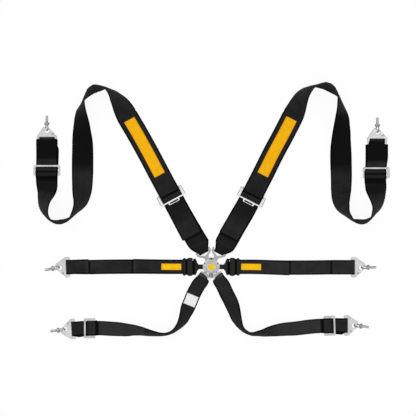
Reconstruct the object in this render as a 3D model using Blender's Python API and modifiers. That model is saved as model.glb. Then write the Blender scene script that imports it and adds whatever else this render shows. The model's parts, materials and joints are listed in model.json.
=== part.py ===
# Racing harness with a rotary buckle and six straps, laid out flat.
# Sizes are in millimetres and the meshes in metres: +X right, +Y to the shoulder anchors, +Z up.
# The origin is the buckle's centre, on the surface that the harness lies on.
import math

import bmesh
import bpy
from mathutils import Matrix, Vector

MM = 0.001

# webbing
WEB_T = 1.6
SHOULDER_W = 75.0
BELT_W = 50.0
GATHER_W = 54.0
TONGUE_W = 35.0
LEG_END_W = 23.0
PATCH_T = 0.8

# fits
GAP = 0.3
LOOP_CLEAR = 0.4
SIDE_CLEAR = 1.2

# hardware
PLATE_T = 3.0
BAR_W = 6.4
BUCKLE_R = 30.0
BACK_T = 3.0
HOUSING_TOP = 15.5
POCKET_R = 22.5
POCKET_TOP = 13.0
TONGUE_MID = 8.8
STEM_R = 7.0
POST_R = 3.5
KNOB_R = 19.0
KNOB_TOP = 21.5
BADGE_R = 12.0
LATCH_RING = 17.5
LATCH_PIN_R = 2.5
SLIDER_BAR = 7.0
ROD_X = 35.0
ROD_W = 8.0
RING_IN = 8.5
RING_TUBE = 2.25
FLANGE_R = 10.0
SHANK_R = 5.5
SHANK_END = 47.0
ADJUSTER_SLIDE_X = 12.0
ADJUSTER_FRONT_X = 30.0
REAR_BAR_R = 3.0
SLIDE_BAR_R = 2.6
TONGUE_HALF = {"shoulder": 8.0, "lap": 8.5, "leg": 7.0}
TONGUE_RIM = 1.8
SHOULDER_REACH = 29.0
LAP_REACH = 39.0
LEG_REACH = 13.0
BOOT_WALL = 1.7
BOOT_RIB = 2.0

# heights that follow from the sizes above
FLOOR_Z = WEB_T / 2
SECOND_Z = FLOOR_Z + WEB_T + GAP
UNDER_Z = FLOOR_Z + WEB_T + 0.5
SLIDER_Z0 = UNDER_Z + WEB_T / 2 + GAP
OVER_Z = SLIDER_Z0 + PLATE_T + GAP + WEB_T / 2
LOOP_R = math.hypot(BAR_W / 2, PLATE_T / 2) + LOOP_CLEAR + WEB_T / 2
BAR_Z = FLOOR_Z + LOOP_R
RING_R = RING_IN + RING_TUBE
ROD_Z = RING_R + RING_TUBE
RING_X = RING_IN - math.hypot(ROD_W / 2, PLATE_T / 2) - 0.2
BRACKET_PITCH = math.degrees(math.asin((ROD_Z - BAR_Z) / ROD_X))
REAR_LOOP_R = REAR_BAR_R + LOOP_CLEAR + WEB_T / 2
REAR_BAR_Z = FLOOR_Z + REAR_LOOP_R
SLIDE_BAR_Z = REAR_BAR_Z + REAR_LOOP_R + WEB_T / 2 + SLIDE_BAR_R - 1.1
SLIDE_WEB_Z = SLIDE_BAR_Z + SLIDE_BAR_R + GAP + WEB_T / 2
FRONT_Z0 = SLIDE_BAR_Z + 0.7
TONGUE_Z0 = TONGUE_MID - PLATE_T / 2
SHOULDER_BAR_X = BUCKLE_R + SHOULDER_REACH
LAP_BAR_X = BUCKLE_R + LAP_REACH
LEG_BAR_X = BUCKLE_R + LEG_REACH
SLOT_HALF = max(GATHER_W, BELT_W) / 2 + 0.8
LAP_HALF = BELT_W / 2 + SIDE_CLEAR + TONGUE_RIM

# where each piece of hardware lies: x, y and heading in degrees
TONGUE_HEADING = {
    "shoulder_left": 117.5, "shoulder_right": 62.5,
    "lap_left": 180.0, "lap_right": 0.0,
    "leg_left": 230.0, "leg_right": 309.0,
}
ADJUSTER_AT = {"left": (-150.3, 266.1, 298.4), "right": (150.1, 262.6, 242.8)}
SLIDER_AT = {
    "shoulder_left": (-586.5, 344.1, 90.0), "shoulder_right": (588.7, 336.0, 90.0),
    "leg_left": (-433.9, -219.0, 180.0), "leg_right": (422.9, -209.8, 2.0),
}
BRACKET_AT = {
    "shoulder_left": (-586.0, 458.0, 90.0), "shoulder_right": (592.6, 452.3, 90.0),
    "lap_left": (-513.0, -1.2, 182.0), "lap_right": (507.3, -1.6, 0.0),
    "leg_left": (-493.4, -221.5, 184.0), "leg_right": (482.0, -209.0, 0.0),
}
# the side that the hook opens to, seen from the strap: 1 right, -1 left
HOOK_HAND = {
    "shoulder_left": 1, "shoulder_right": 1, "lap_left": -1, "lap_right": 1, "leg_left": 1, "leg_right": 1,
}
# degrees that each eyebolt lies turned from its bracket
BOLT_TURN = {
    "shoulder_left": 0, "shoulder_right": 0, "lap_left": 9, "lap_right": 0, "leg_left": 3, "leg_right": -7,
}

# routes of the free runs: x, y and roll, which is positive where the left edge stands up
SHOULDER_ROUTE = {
    "left": [
        (-225, 406, 0), (-268, 483, 0), (-295, 529, 0), (-314, 564, 24), (-328, 589, 42), (-338, 603, 54),
        (-352, 622, 69), (-364, 631, 79), (-376, 637, 89), (-394, 639, 103), (-414, 637, 111),
        (-434, 625, 107), (-444, 612, 98), (-451, 600, 90), (-456, 588, 83), (-460, 576, 74),
        (-464, 556, 60), (-464, 534, 50), (-462, 510, 40), (-461, 485, 31), (-459, 446, 15),
        (-459, 363, -2), (-459, 317, -15), (-460, 274, -26), (-462, 248, -40), (-465, 229, -52),
        (-472, 212, -65), (-481, 198, -75), (-490, 186, -82), (-500, 176, -91), (-518, 163, -99),
        (-536, 158, -102), (-550, 158, -99), (-567, 164, -90), (-582, 176, -82), (-592, 192, -71),
        (-596, 207, -63), (-597, 223, -56), (-595, 239, -49), (-589, 258, -35), (-586, 283, -12),
    ],
    "right": [
        (222, 405, 0), (259, 474, 0), (287, 529, 0), (302, 561, -24), (313, 588, -40), (323, 608, -50),
        (335, 624, -61), (348, 635, -71), (360, 642, -80), (370, 644, -89), (387, 647, -100),
        (405, 647, -108), (421, 641, -110), (435, 631, -106), (444, 621, -98), (450, 612, -90),
        (455, 602, -83), (460, 586, -74), (464, 564, -64), (466, 548, -55), (467, 529, -46),
        (466, 508, -40), (465, 485, -32), (463, 453, -23), (463, 381, 4), (464, 317, 15),
        (463, 274, 23), (462, 239, 37), (464, 224, 46), (469, 209, 55), (475, 196, 67),
        (483, 185, 76), (492, 176, 82), (502, 168, 89), (517, 161, 100), (533, 158, 103),
        (548, 160, 100), (565, 171, 91), (575, 182, 82), (583, 195, 73), (589, 208, 64),
        (592, 223, 54), (592, 240, 43), (590, 258, 30), (588, 276, 12),
    ],
}
LEG_ROUTE = {
    "left": [
        (-60, -91, 0), (-76, -129, 0), (-80, -138.5, 0), (-91.5, -168, -34), (-100, -191, -47),
        (-109, -206, -59), (-119, -218, -67), (-132, -229, -76), (-149, -237, -82), (-166, -241, -81),
        (-182, -242, -75), (-201, -240, -67), (-223, -236, -59), (-248, -230, -50), (-274, -226, -39),
        (-299, -224, -26), (-329, -221, -12), (-360, -219, -2),
    ],
    "right": [
        (53, -91, 0), (71, -127, 8), (83, -160, 31), (89, -182, 42), (95, -198, 54),
        (102, -213, 65), (110, -223, 72), (122, -232, 77), (135, -238, 80), (150, -241, 74),
        (166, -239, 66), (182, -237, 58), (206, -231, 44), (228, -227, 33), (257, -223, 22),
        (300, -218, 12), (350, -213, 2),
    ],
}
SHOULDER_PATCH = {
    "left": ((-182, 328), (-291, 526), 41.0),
    "right": ((180, 330), (288, 528), 41.0),
}
LAP_PATCH_X = (36.5, 109.5)
LAP_PATCH_W = 24.0
LAP_TAIL_END = 279.0
LABEL_ENDS = ((-64, -101), (-79, -137.5))
LABEL_W = 43.0

BLACK = (0.012, 0.012, 0.013)
YELLOW = (0.86, 0.42, 0.01)
SILVER = (0.62, 0.62, 0.63)
STEEL = (0.45, 0.45, 0.46)
WHITE = (0.85, 0.85, 0.83)

for old in list(bpy.data.objects):
    bpy.data.objects.remove(old)

parts = bpy.data.collections.new("racing_harness")
tools = bpy.data.collections.new("cutters")
bpy.context.scene.collection.children.link(parts)
bpy.context.scene.collection.children.link(tools)


def frame(x, y, z, heading, pitch=0.0):
    turn = Matrix.Rotation(math.radians(heading), 4, "Z")
    lift = Matrix.Rotation(math.radians(-pitch), 4, "Y")
    return Matrix.Translation((x, y, z)) @ turn @ lift


def put(name, bm, at, collection):
    bmesh.ops.recalc_face_normals(bm, faces=bm.faces)
    mesh = bpy.data.meshes.new(name)
    bm.to_mesh(mesh)
    bm.free()
    mesh.transform(Matrix.Scale(MM, 4))
    made = bpy.data.objects.new(name, mesh)
    collection.objects.link(made)
    made.matrix_world = Matrix.Translation(at.translation * MM) @ at.to_3x3().to_4x4()
    return made


def solid(name, bm, at, colour, metallic=0.0, roughness=0.5):
    made = put(name, bm, at, parts)
    skin = bpy.data.materials.new(name)
    skin.use_nodes = True
    shader = skin.node_tree.nodes["Principled BSDF"]
    shader.inputs["Base Color"].default_value = (*colour, 1)
    shader.inputs["Metallic"].default_value = metallic
    shader.inputs["Roughness"].default_value = roughness
    skin.diffuse_color = (*colour, 1)
    made.data.materials.append(skin)
    return made


def shape(target, bm, at, operation):
    tool = put(f"{target.name}_{operation.lower()}", bm, at, tools)
    tool.hide_render = True
    tool.display_type = "WIRE"
    step = target.modifiers.new(operation.title(), "BOOLEAN")
    step.operation = operation
    step.solver = "EXACT"
    step.use_self = operation == "UNION"
    step.object = tool


def rounded(corners, steps=2):
    out = []
    for i, (x, y, r) in enumerate(corners):
        here = Vector((x, y))
        if r == 0:
            out.append(here)
            continue
        back = (Vector(corners[i - 1][:2]) - here).normalized()
        on = (Vector(corners[(i + 1) % len(corners)][:2]) - here).normalized()
        half = back.angle(on) / 2
        centre = here + (back + on).normalized() * (r / math.sin(half))
        first = here + back * (r / math.tan(half)) - centre
        last = here + on * (r / math.tan(half)) - centre
        for k in range(steps + 1):
            out.append(centre + first.lerp(last, k / steps).normalized() * r)
    return out


def prism(bm, outline, z0, z1):
    rim = [bm.verts.new((p[0], p[1], z0)) for p in outline]
    grown = bmesh.ops.extrude_face_region(bm, geom=[bm.faces.new(rim)])
    top = [v for v in grown["geom"] if isinstance(v, bmesh.types.BMVert)]
    bmesh.ops.translate(bm, verts=top, vec=(0, 0, z1 - z0))


def box(bm, x0, x1, y0, y1, z0, z1, turn=0.0):
    size = Matrix.Diagonal((x1 - x0, y1 - y0, z1 - z0, 1))
    middle = Matrix.Translation(((x0 + x1) / 2, (y0 + y1) / 2, (z0 + z1) / 2))
    spin = Matrix.Rotation(math.radians(turn), 4, "Z")
    bmesh.ops.create_cube(bm, size=1, matrix=spin @ middle @ size)


def rod(bm, r, start, end, segments=20):
    start = Vector(start)
    run = Vector(end) - start
    turn = run.to_track_quat("Z", "Y").to_matrix().to_4x4()
    at = Matrix.Translation(start + run / 2) @ turn
    bmesh.ops.create_cone(
        bm, cap_ends=True, segments=segments, radius1=r, radius2=r, depth=run.length, matrix=at
    )


def lathe(bm, profile, axis, segments):
    side = Vector((0, 0, 1)) if axis == "X" else Vector((1, 0, 0))
    along = Vector((1, 0, 0)) if axis == "X" else Vector((0, 0, 1))
    line = [bm.verts.new(along * a + side * r) for a, r in profile]
    edges = [bm.edges.new(pair) for pair in zip(line, line[1:])]
    bmesh.ops.spin(
        bm, geom=line + edges, cent=(0, 0, 0), axis=along, angle=math.tau, steps=segments
    )
    bmesh.ops.remove_doubles(bm, verts=bm.verts, dist=0.001)


def loft(bm, rows, segments=20):
    # rows of x, half width, lowest and highest z, joined by superellipse rings
    ring = []
    for k in range(segments):
        a = math.tau * k / segments
        c = math.copysign(abs(math.cos(a)) ** 0.35, math.cos(a))
        s = math.copysign(abs(math.sin(a)) ** 0.35, math.sin(a))
        ring.append((c, s))
    edges = []
    last = []
    for n, (x, half, low, high) in enumerate(rows):
        mid = (low + high) / 2
        tall = (high - low) / 2
        spots = [Vector((x, half * c, mid + tall * s)) for c, s in ring]
        if n == 0:
            last = [bm.verts.new(p) for p in spots]
            edges = [bm.edges.new((last[k - 1], last[k])) for k in range(segments)]
            bmesh.ops.contextual_create(bm, geom=edges)
            continue
        grown = bmesh.ops.extrude_edge_only(bm, edges=edges)["geom"]
        fresh = [v for v in grown if isinstance(v, bmesh.types.BMVert)]
        edges = [e for e in grown if isinstance(e, bmesh.types.BMEdge)]
        edges = [e for e in edges if e.verts[0] in fresh and e.verts[1] in fresh]
        order = {}
        for v in fresh:
            order[v] = min(range(segments), key=lambda k: (last[k].co - v.co).length)
        for v in fresh:
            v.co = spots[order[v]]
        last = sorted(fresh, key=lambda v: order[v])
    bmesh.ops.contextual_create(bm, geom=edges)


# A webbing station is its centre, its cross direction, its width and the steps to the next one.
def lane(base, rows, side=1, steps=1):
    x, y, heading = base
    a = math.radians(heading)
    along = Vector((math.cos(a), math.sin(a), 0))
    cross = Vector((-math.sin(a), math.cos(a), 0)) * side
    out = []
    for s, z, width in rows:
        out.append((Vector((x, y, z)) + along * s, cross, width, steps))
    return out


def bend(base, s, z, r, start, end, width, side=1, count=8):
    rows = []
    for k in range(count + 1):
        a = math.radians(start + (end - start) * k / count)
        rows.append((s + r * math.cos(a), z + r * math.sin(a), width))
    return lane(base, rows, side)


def run(points, width, steps=2):
    out = []
    for i, (x, y, roll) in enumerate(points):
        before = points[max(i - 1, 0)]
        after = points[min(i + 1, len(points) - 1)]
        a = math.atan2(after[1] - before[1], after[0] - before[0])
        tilt = math.radians(roll)
        level = Vector((-math.sin(a), math.cos(a), 0))
        cross = level * math.cos(tilt) + Vector((0, 0, math.sin(tilt)))
        z = FLOOR_Z + width / 2 * abs(math.sin(tilt))
        out.append((Vector((x, y, z)), cross, width, steps))
    return out


def slope(rows, i, pick):
    if i == 0 or i == len(rows) - 1:
        return Vector((0, 0, 0))
    h0 = max((rows[i][0] - rows[i - 1][0]).length, 1e-6)
    h1 = max((rows[i + 1][0] - rows[i][0]).length, 1e-6)
    d0 = (pick(rows[i]) - pick(rows[i - 1])) / h0
    d1 = (pick(rows[i + 1]) - pick(rows[i])) / h1
    return (d0 * h1 + d1 * h0) / (h0 + h1)


def smooth(rows):
    out = []
    for i, (here, cross, width, steps) in enumerate(rows[:-1]):
        there, over, wide, _ = rows[i + 1]
        h = (there - here).length
        for k in range(steps):
            t = k / steps
            a = 2 * t**3 - 3 * t**2 + 1
            b = (t**3 - 2 * t**2 + t) * h
            c = 3 * t**2 - 2 * t**3
            d = (t**3 - t**2) * h
            spot = here * a + there * c
            spot += slope(rows, i, lambda r: r[0]) * b + slope(rows, i + 1, lambda r: r[0]) * d
            out.append((spot, cross.lerp(over, t).normalized(), width + (wide - width) * t))
    out.append(rows[-1][:3])
    return out


def webbing(name, stations, thickness, colour, roughness=0.8):
    bm = bmesh.new()
    edge = None
    pair = []
    for spot, cross, width in stations:
        ends = (spot - cross * width / 2, spot + cross * width / 2)
        if edge is None:
            pair = [bm.verts.new(p) for p in ends]
            edge = bm.edges.new(pair)
            continue
        grown = bmesh.ops.extrude_edge_only(bm, edges=[edge])["geom"]
        fresh = [v for v in grown if isinstance(v, bmesh.types.BMVert)]
        fresh.sort(key=lambda v: (v.co - pair[0].co).length)
        for v, p in zip(fresh, ends):
            v.co = p
        pair = fresh
        edge = bm.edges.get(fresh)
    made = solid(name, bm, Matrix(), colour, 0.0, roughness)
    thick = made.modifiers.new("Thickness", "SOLIDIFY")
    thick.thickness = thickness * MM
    thick.offset = 0.0
    return made


def band(stations, ends, width):
    # a short strip on top of a strap, between the two plan points
    marks = []
    for x, y in ends:
        marks.append(min(range(len(stations)), key=lambda i: math.hypot(
            stations[i][0].x - x, stations[i][0].y - y)))
    low, high = min(marks), max(marks)
    path = stations[max(low - 1, 0):high + 2]
    reach = [0.0]
    for a, b in zip(path, path[1:]):
        reach.append(reach[-1] + (b[0] - a[0]).length)
    spots = []
    for x, y in ends:
        best = (1e9, 0.0)
        for k, (a, b) in enumerate(zip(path, path[1:])):
            line = (b[0] - a[0]).to_2d()
            t = (Vector((x, y)) - a[0].to_2d()).dot(line) / line.length_squared
            t = min(max(t, 0.0), 1.0)
            miss = (a[0].to_2d() + line * t - Vector((x, y))).length
            best = min(best, (miss, reach[k] + t * (reach[k + 1] - reach[k])))
        spots.append(best[1])
    start, end = min(spots), max(spots)
    inside = [r for r in reach if start + 2 < r < end - 2]
    out = []
    for s in [start, *inside, end]:
        k = max(i for i in range(len(path) - 1) if reach[i] <= s + 1e-9)
        t = (s - reach[k]) / (reach[k + 1] - reach[k])
        spot = path[k][0].lerp(path[k + 1][0], t)
        cross = path[k][1].lerp(path[k + 1][1], t).normalized()
        ahead = path[k + 1][0] - path[max(k - 1, 0) if t < 0.01 else k][0]
        up = cross.cross(ahead).normalized()
        up = up if up.z > 0 else -up
        out.append((spot + up * (WEB_T / 2 + GAP + PATCH_T / 2), cross, width))
    return out


def on_radius(r, degrees):
    a = math.radians(degrees)
    return r * math.cos(a), r * math.sin(a)


def buckle_outline(grow):
    # a round body with a small lobe at the top
    out = []
    for k in range(64):
        a = math.tau * k / 64
        inside = 12.0**2 - (22.0 * math.cos(a)) ** 2
        lobe = 22.0 * math.sin(a) + math.sqrt(inside) if inside > 0 else 0.0
        out.append(on_radius(max(BUCKLE_R, lobe) + grow, math.degrees(a)))
    return out


def build_buckle():
    here = Matrix()
    bm = bmesh.new()
    prism(bm, buckle_outline(-0.6), 0, BACK_T)
    solid("buckle_back_plate", bm, here, STEEL, 1.0, 0.35)

    bm = bmesh.new()
    prism(bm, buckle_outline(0), BACK_T + GAP, HOUSING_TOP)
    housing = solid("buckle_housing", bm, here, SILVER, 1.0, 0.3)
    bm = bmesh.new()
    tab = rounded([(-14.4, -18, 0), (-14.4, -41, 3), (14.4, -41, 3), (14.4, -18, 0)])
    prism(bm, tab, TONGUE_Z0 + PLATE_T + 0.9, HOUSING_TOP - 0.5)
    shape(housing, bm, here, "UNION")
    bm = bmesh.new()
    rod(bm, POCKET_R, (0, 0, BACK_T - 1), (0, 0, POCKET_TOP), 40)
    rod(bm, STEM_R + 0.4, (0, 0, POCKET_TOP - 1), (0, 0, HOUSING_TOP + 1), 28)
    for name, heading in TONGUE_HEADING.items():
        half = TONGUE_HALF[name.split("_")[0]] + GAP
        box(bm, POCKET_R - 4, BUCKLE_R + 8, -half, half,
            TONGUE_Z0 - GAP, TONGUE_Z0 + PLATE_T + GAP, heading)
    cut = bmesh.new()
    rod(cut, 2.0, (0, 27, HOUSING_TOP - 2), (0, 27, HOUSING_TOP + 1), 12)
    for x in (-9.4, 0.0, 9.4):
        box(cut, x - 1.6, x + 1.6, -37.5, -25.5, HOUSING_TOP - 1.7, HOUSING_TOP + 1)
    for x, y in SCREWS.values():
        rod(cut, SCREW_R + GAP, (x, y, HOUSING_TOP - 1.5), (x, y, HOUSING_TOP + 1), 12)
    step = put("buckle_housing_pocket", bm, here, tools)
    step.hide_render = True
    step.display_type = "WIRE"
    hollow = housing.modifiers.new("Pocket", "BOOLEAN")
    hollow.operation = "DIFFERENCE"
    hollow.solver = "EXACT"
    hollow.use_self = True
    hollow.object = step
    shape(housing, cut, here, "DIFFERENCE")

    for name, (x, y) in SCREWS.items():
        bm = bmesh.new()
        rod(bm, SCREW_R, (x, y, HOUSING_TOP - 1.2), (x, y, HOUSING_TOP + 0.2), 12)
        solid(name, bm, here, STEEL, 1.0, 0.4)

    bm = bmesh.new()
    seat = KNOB_TOP - 1.0
    lathe(bm, [
        (POCKET_TOP - 1.4, POST_R + 0.4), (POCKET_TOP - 1.4, STEM_R), (HOUSING_TOP + 0.3, STEM_R),
        (HOUSING_TOP + 0.3, KNOB_R), (KNOB_TOP - 1.2, KNOB_R), (KNOB_TOP, KNOB_R - 1.6),
        (KNOB_TOP, BADGE_R + GAP), (seat, BADGE_R + GAP), (seat, 0.0),
    ], "Z", 36)
    knob = solid("buckle_turn_knob", bm, here, SILVER, 1.0, 0.28)
    bm = bmesh.new()
    bm.from_mesh(knob.data)
    rim = [e for e in bm.edges if e.is_boundary]
    roof = bmesh.ops.extrude_edge_only(bm, edges=rim)["geom"]
    roof = [v for v in roof if isinstance(v, bmesh.types.BMVert)]
    bmesh.ops.translate(bm, verts=roof, vec=(0, 0, (seat - 1.5 - POCKET_TOP + 1.4) * MM))
    bmesh.ops.contextual_create(bm, geom=[e for e in bm.edges if e.is_boundary])
    bmesh.ops.recalc_face_normals(bm, faces=bm.faces)
    bm.to_mesh(knob.data)
    bm.free()
    bm = bmesh.new()
    for k in range(12):
        x, y = on_radius(KNOB_R + 1.4, 30 * k + 15)
        rod(bm, 2.6, (x, y, HOUSING_TOP), (x, y, KNOB_TOP + 1), 8)
    shape(knob, bm, here, "DIFFERENCE")

    bm = bmesh.new()
    rod(bm, BADGE_R, (0, 0, seat + GAP), (0, 0, KNOB_TOP + 0.1), 36)
    solid("buckle_badge", bm, here, YELLOW, 0.0, 0.35)

    cam_top = POCKET_TOP - GAP
    bm = bmesh.new()
    cam = []
    for k in range(36):
        r = 14.0 - 2.5 * math.cos(math.tau * 3 * k / 36)
        cam.append(on_radius(r, 10 * k))
    prism(bm, cam, cam_top - 1.1, cam_top)
    plate = solid("buckle_cam_plate", bm, here, STEEL, 1.0, 0.4)
    bm = bmesh.new()
    rod(bm, STEM_R + GAP, (0, 0, cam_top - 3), (0, 0, cam_top + 3), 28)
    shape(plate, bm, here, "DIFFERENCE")

    star_top = cam_top - 1.1 - GAP
    star_low = TONGUE_Z0 + PLATE_T + GAP
    bm = bmesh.new()
    rod(bm, 9.0, (0, 0, star_low), (0, 0, star_top), 24)
    star = solid("buckle_latch_star", bm, here, STEEL, 1.0, 0.4)
    bm = bmesh.new()
    for heading in TONGUE_HEADING.values():
        box(bm, 6.0, LATCH_RING + LATCH_PIN_R, -2.0, 2.0, star_low, star_top, heading)
        x, y = on_radius(LATCH_RING, heading)
        rod(bm, LATCH_PIN_R, (x, y, TONGUE_Z0 + 0.5), (x, y, star_top), 10)
    shape(star, bm, here, "UNION")
    bm = bmesh.new()
    rod(bm, POST_R + 0.6, (0, 0, 0), (0, 0, 20), 20)
    shape(star, bm, here, "DIFFERENCE")

    bm = bmesh.new()
    lathe(bm, [
        (BACK_T + GAP, 0.0), (BACK_T + GAP, 9.0), (BACK_T + 2.5, 9.0),
        (BACK_T + 2.5, POST_R), (seat - 1.8, POST_R), (seat - 1.8, 0.0),
    ], "Z", 24)
    solid("buckle_centre_post", bm, here, STEEL, 1.0, 0.35)

    coil = bpy.data.curves.new("buckle_return_spring", "CURVE")
    coil.dimensions = "3D"
    coil.bevel_depth = 0.55 * MM
    coil.bevel_resolution = 1
    coil.use_fill_caps = True
    line = coil.splines.new("POLY")
    turns = 2
    line.points.add(turns * 14)
    low = BACK_T + 2.5 + GAP + 0.55
    high = star_low - GAP - 0.55
    for k in range(turns * 14 + 1):
        x, y = on_radius(5.4, 360 * k / 14)
        z = low + (high - low) * k / (turns * 14)
        line.points[k].co = (x * MM, y * MM, z * MM, 1)
    spring = bpy.data.objects.new("buckle_return_spring", coil)
    parts.objects.link(spring)
    skin = bpy.data.materials.new("buckle_return_spring")
    skin.use_nodes = True
    skin.node_tree.nodes["Principled BSDF"].inputs["Metallic"].default_value = 1.0
    coil.materials.append(skin)
    print("spring least gap to itself", round((high - low) / turns - 1.1, 2), "mm")


SCREW_R = 2.0
SCREWS = {
    "buckle_screw_1": (-18.2, -18.2), "buckle_screw_2": (18.2, -18.2),
    "buckle_screw_3": (-22.6, 11.8), "buckle_screw_4": (22.6, 11.8),
}


def tongue(name, outline, hole, colour, metallic):
    at = frame(0, 0, 0, TONGUE_HEADING[name])
    bm = bmesh.new()
    prism(bm, rounded(outline), TONGUE_Z0, TONGUE_Z0 + PLATE_T)
    made = solid(f"{name}_tongue", bm, at, colour, metallic, 0.32)
    bm = bmesh.new()
    prism(bm, rounded(hole), TONGUE_Z0 - 2, TONGUE_Z0 + PLATE_T + 2)
    rod(bm, LATCH_PIN_R + 0.5, (LATCH_RING, 0, TONGUE_Z0 - 2), (LATCH_RING, 0, TONGUE_MID + 5), 16)
    shape(made, bm, at, "DIFFERENCE")


def mirrored(half):
    return half + [(x, -y, r) for x, y, r in reversed(half)]


def build_tongues():
    b0 = SHOULDER_BAR_X - BAR_W / 2
    b1 = SHOULDER_BAR_X + BAR_W / 2
    slot = TONGUE_W / 2 + SIDE_CLEAR
    reach = SHOULDER_BAR_X - LOOP_R - WEB_T / 2 - 0.5
    tip = LATCH_RING - 4.5
    for side in ("left", "right"):
        neck = TONGUE_HALF["shoulder"]
        tongue(f"shoulder_{side}", mirrored([
            (b1, slot + 3.5, 1.5), (b1 + 2.5, slot + 5.5, 1), (b1 + 1, slot + 9, 2),
            (b0 - 2, slot + 8, 2), (BUCKLE_R + 12, neck + 1.5, 6), (BUCKLE_R + 7, neck, 5),
            (tip + 8, neck, 3), (tip, 4.4, 2),
        ][::-1]), mirrored([
            (BUCKLE_R + 11.5, 1.5, 1), (reach, slot, 1.5), (b0, slot, 1),
        ]), SILVER, 1.0)

        b2 = LAP_BAR_X - BAR_W / 2
        wide = LAP_HALF - TONGUE_RIM
        neck = TONGUE_HALF["lap"]
        tongue(f"lap_{side}", mirrored([
            (tip, 4.4, 2), (tip + 8, neck, 3), (LAP_BAR_X - 18, neck, 3), (LAP_BAR_X - 9, LAP_HALF, 3),
            (LAP_BAR_X + BAR_W / 2, LAP_HALF, 2),
        ]), mirrored([
            (LAP_BAR_X - LOOP_R - WEB_T / 2 - 1, wide, 1.5), (b2, wide, 1),
        ]), BLACK, 0.6)

        b3 = LEG_BAR_X - BAR_W / 2
        trim = LEG_END_W / 2 + 0.8
        neck = TONGUE_HALF["leg"]
        tongue(f"leg_{side}", mirrored([
            (tip, 4.4, 2), (tip + 8, neck, 3), (BUCKLE_R + 0.6, neck, 1), (BUCKLE_R + 3.5, trim + 5, 2),
            (LEG_BAR_X + BAR_W / 2, trim + 5, 2.5),
        ]), mirrored([
            (LEG_BAR_X - LOOP_R - WEB_T / 2 - 0.4, trim, 0.8), (b3, trim, 0.8),
        ]), SILVER, 1.0)


def build_slider(name, at, wide):
    length = 39.0 if wide == SHOULDER_W else 41.0
    half = wide / 2 + SIDE_CLEAR + 8.0
    slot = (length - 3 * SLIDER_BAR) / 2
    x0 = -length / 2
    bm = bmesh.new()
    prism(bm, rounded(mirrored([(x0, half, 5), (-x0, half, 5)])), 0, PLATE_T)
    made = solid(f"{name}_slider", bm, at, SILVER, 1.0, 0.3)
    bm = bmesh.new()
    for k in range(2):
        a = x0 + SLIDER_BAR + k * (slot + SLIDER_BAR)
        reach = wide / 2 + SIDE_CLEAR
        prism(bm, rounded(mirrored([(a, reach, 1.2), (a + slot, reach, 1.2)])), -2, PLATE_T + 2)
    shape(made, bm, at, "DIFFERENCE")


def build_anchor(name):
    x, y, heading = BRACKET_AT[name]
    at = frame(x, y, BAR_Z, heading, BRACKET_PITCH)
    slot = SLOT_HALF
    r0 = ROD_X - ROD_W / 2
    r1 = ROD_X + ROD_W / 2
    h = PLATE_T / 2
    hand = HOOK_HAND[name]
    bm = bmesh.new()
    plate = [
        (-BAR_W / 2, -slot - 1, 0), (-BAR_W / 2, slot + 1, 0), (-6, slot + 3, 1), (-5, slot + 8, 2),
        (6, slot + 9, 3), (42, 13, 3), (r1 + 3, 6, 1.5), (r1, 3.5, 1), (r1, -5, 2), (r1 - 3, -9, 1.5),
        (r0 + 1, -8, 1.5), (r0, -5, 1.5), (r0, 5, 1.5), (28, 8.5, 2), (23, 8.5, 2), (20, 5, 2),
        (20, -7, 2), (24, -15, 1.5), (26, -18.5, 1.5), (6, -slot - 9, 3), (-5, -slot - 8, 2),
        (-6, -slot - 3, 1),
    ]
    prism(bm, rounded([(a, b * hand, r) for a, b, r in plate]), -h, h)
    made = solid(f"{name}_snap_bracket", bm, at, SILVER, 1.0, 0.3)
    bm = bmesh.new()
    rod(bm, 2.0, (17.5, -19.5 * hand, -h + 0.5), (17.5, -19.5 * hand, h + 2.6), 14)
    shape(made, bm, at, "UNION")
    bm = bmesh.new()
    prism(bm, rounded(mirrored([(BAR_W / 2, slot, 1.2), (BAR_W / 2 + 7, slot, 2)])), -h - 2, h + 2)
    shape(made, bm, at, "DIFFERENCE")

    pivot = at @ Matrix.Translation((17.5, -19.5 * hand, 0))
    lean = math.degrees(math.atan2(11.5 * hand, 18.5))
    pivot = pivot @ Matrix.Rotation(math.radians(lean), 4, "Z")
    bm = bmesh.new()
    prism(bm, rounded([
        (-3.6, -3.6, 3), (4, -3.6, 2), (21, -2.2, 0), (23.5, -2.2, 1.8), (23.5, 2.2, 1.8), (21, 2.2, 0),
        (4, 3.6, 2), (-3.6, 3.6, 3),
    ]), h + GAP, h + GAP + 1.8)
    gate = solid(f"{name}_snap_gate", bm, pivot, STEEL, 1.0, 0.3)
    bm = bmesh.new()
    rod(bm, 2.3, (0, 0, 0), (0, 0, 9), 14)
    shape(gate, bm, pivot, "DIFFERENCE")

    hook = at @ Vector((ROD_X, 0, 0))
    eye = frame(hook.x, hook.y, hook.z, heading + BOLT_TURN[name])
    start = RING_X + RING_R - 0.5
    bm = bmesh.new()
    lathe(bm, [
        (start, 0), (start, 4.5), (start + 3, 5.0), (start + 3, FLANGE_R), (start + 6.5, FLANGE_R),
        (start + 6.5, SHANK_R), (SHANK_END - 1, SHANK_R), (SHANK_END, SHANK_R - 1), (SHANK_END, 0),
    ], "X", 16)
    bolt = solid(f"{name}_eyebolt", bm, eye, SILVER, 1.0, 0.3)
    bm = bmesh.new()
    for k in range(8):
        a = math.tau * k / 8
        bm.verts.new((RING_R + RING_TUBE * math.cos(a), RING_TUBE * math.sin(a), 0))
    bm.verts.ensure_lookup_table()
    tube = [bm.edges.new((bm.verts[k - 1], bm.verts[k])) for k in range(8)]
    bmesh.ops.spin(
        bm, geom=list(bm.verts) + tube, cent=(0, 0, 0), axis=(0, 1, 0), angle=math.tau, steps=20
    )
    bmesh.ops.remove_doubles(bm, verts=bm.verts, dist=0.001)
    bmesh.ops.translate(bm, verts=bm.verts, vec=(RING_X, 0, 0))
    shape(bolt, bm, eye, "UNION")


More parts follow.
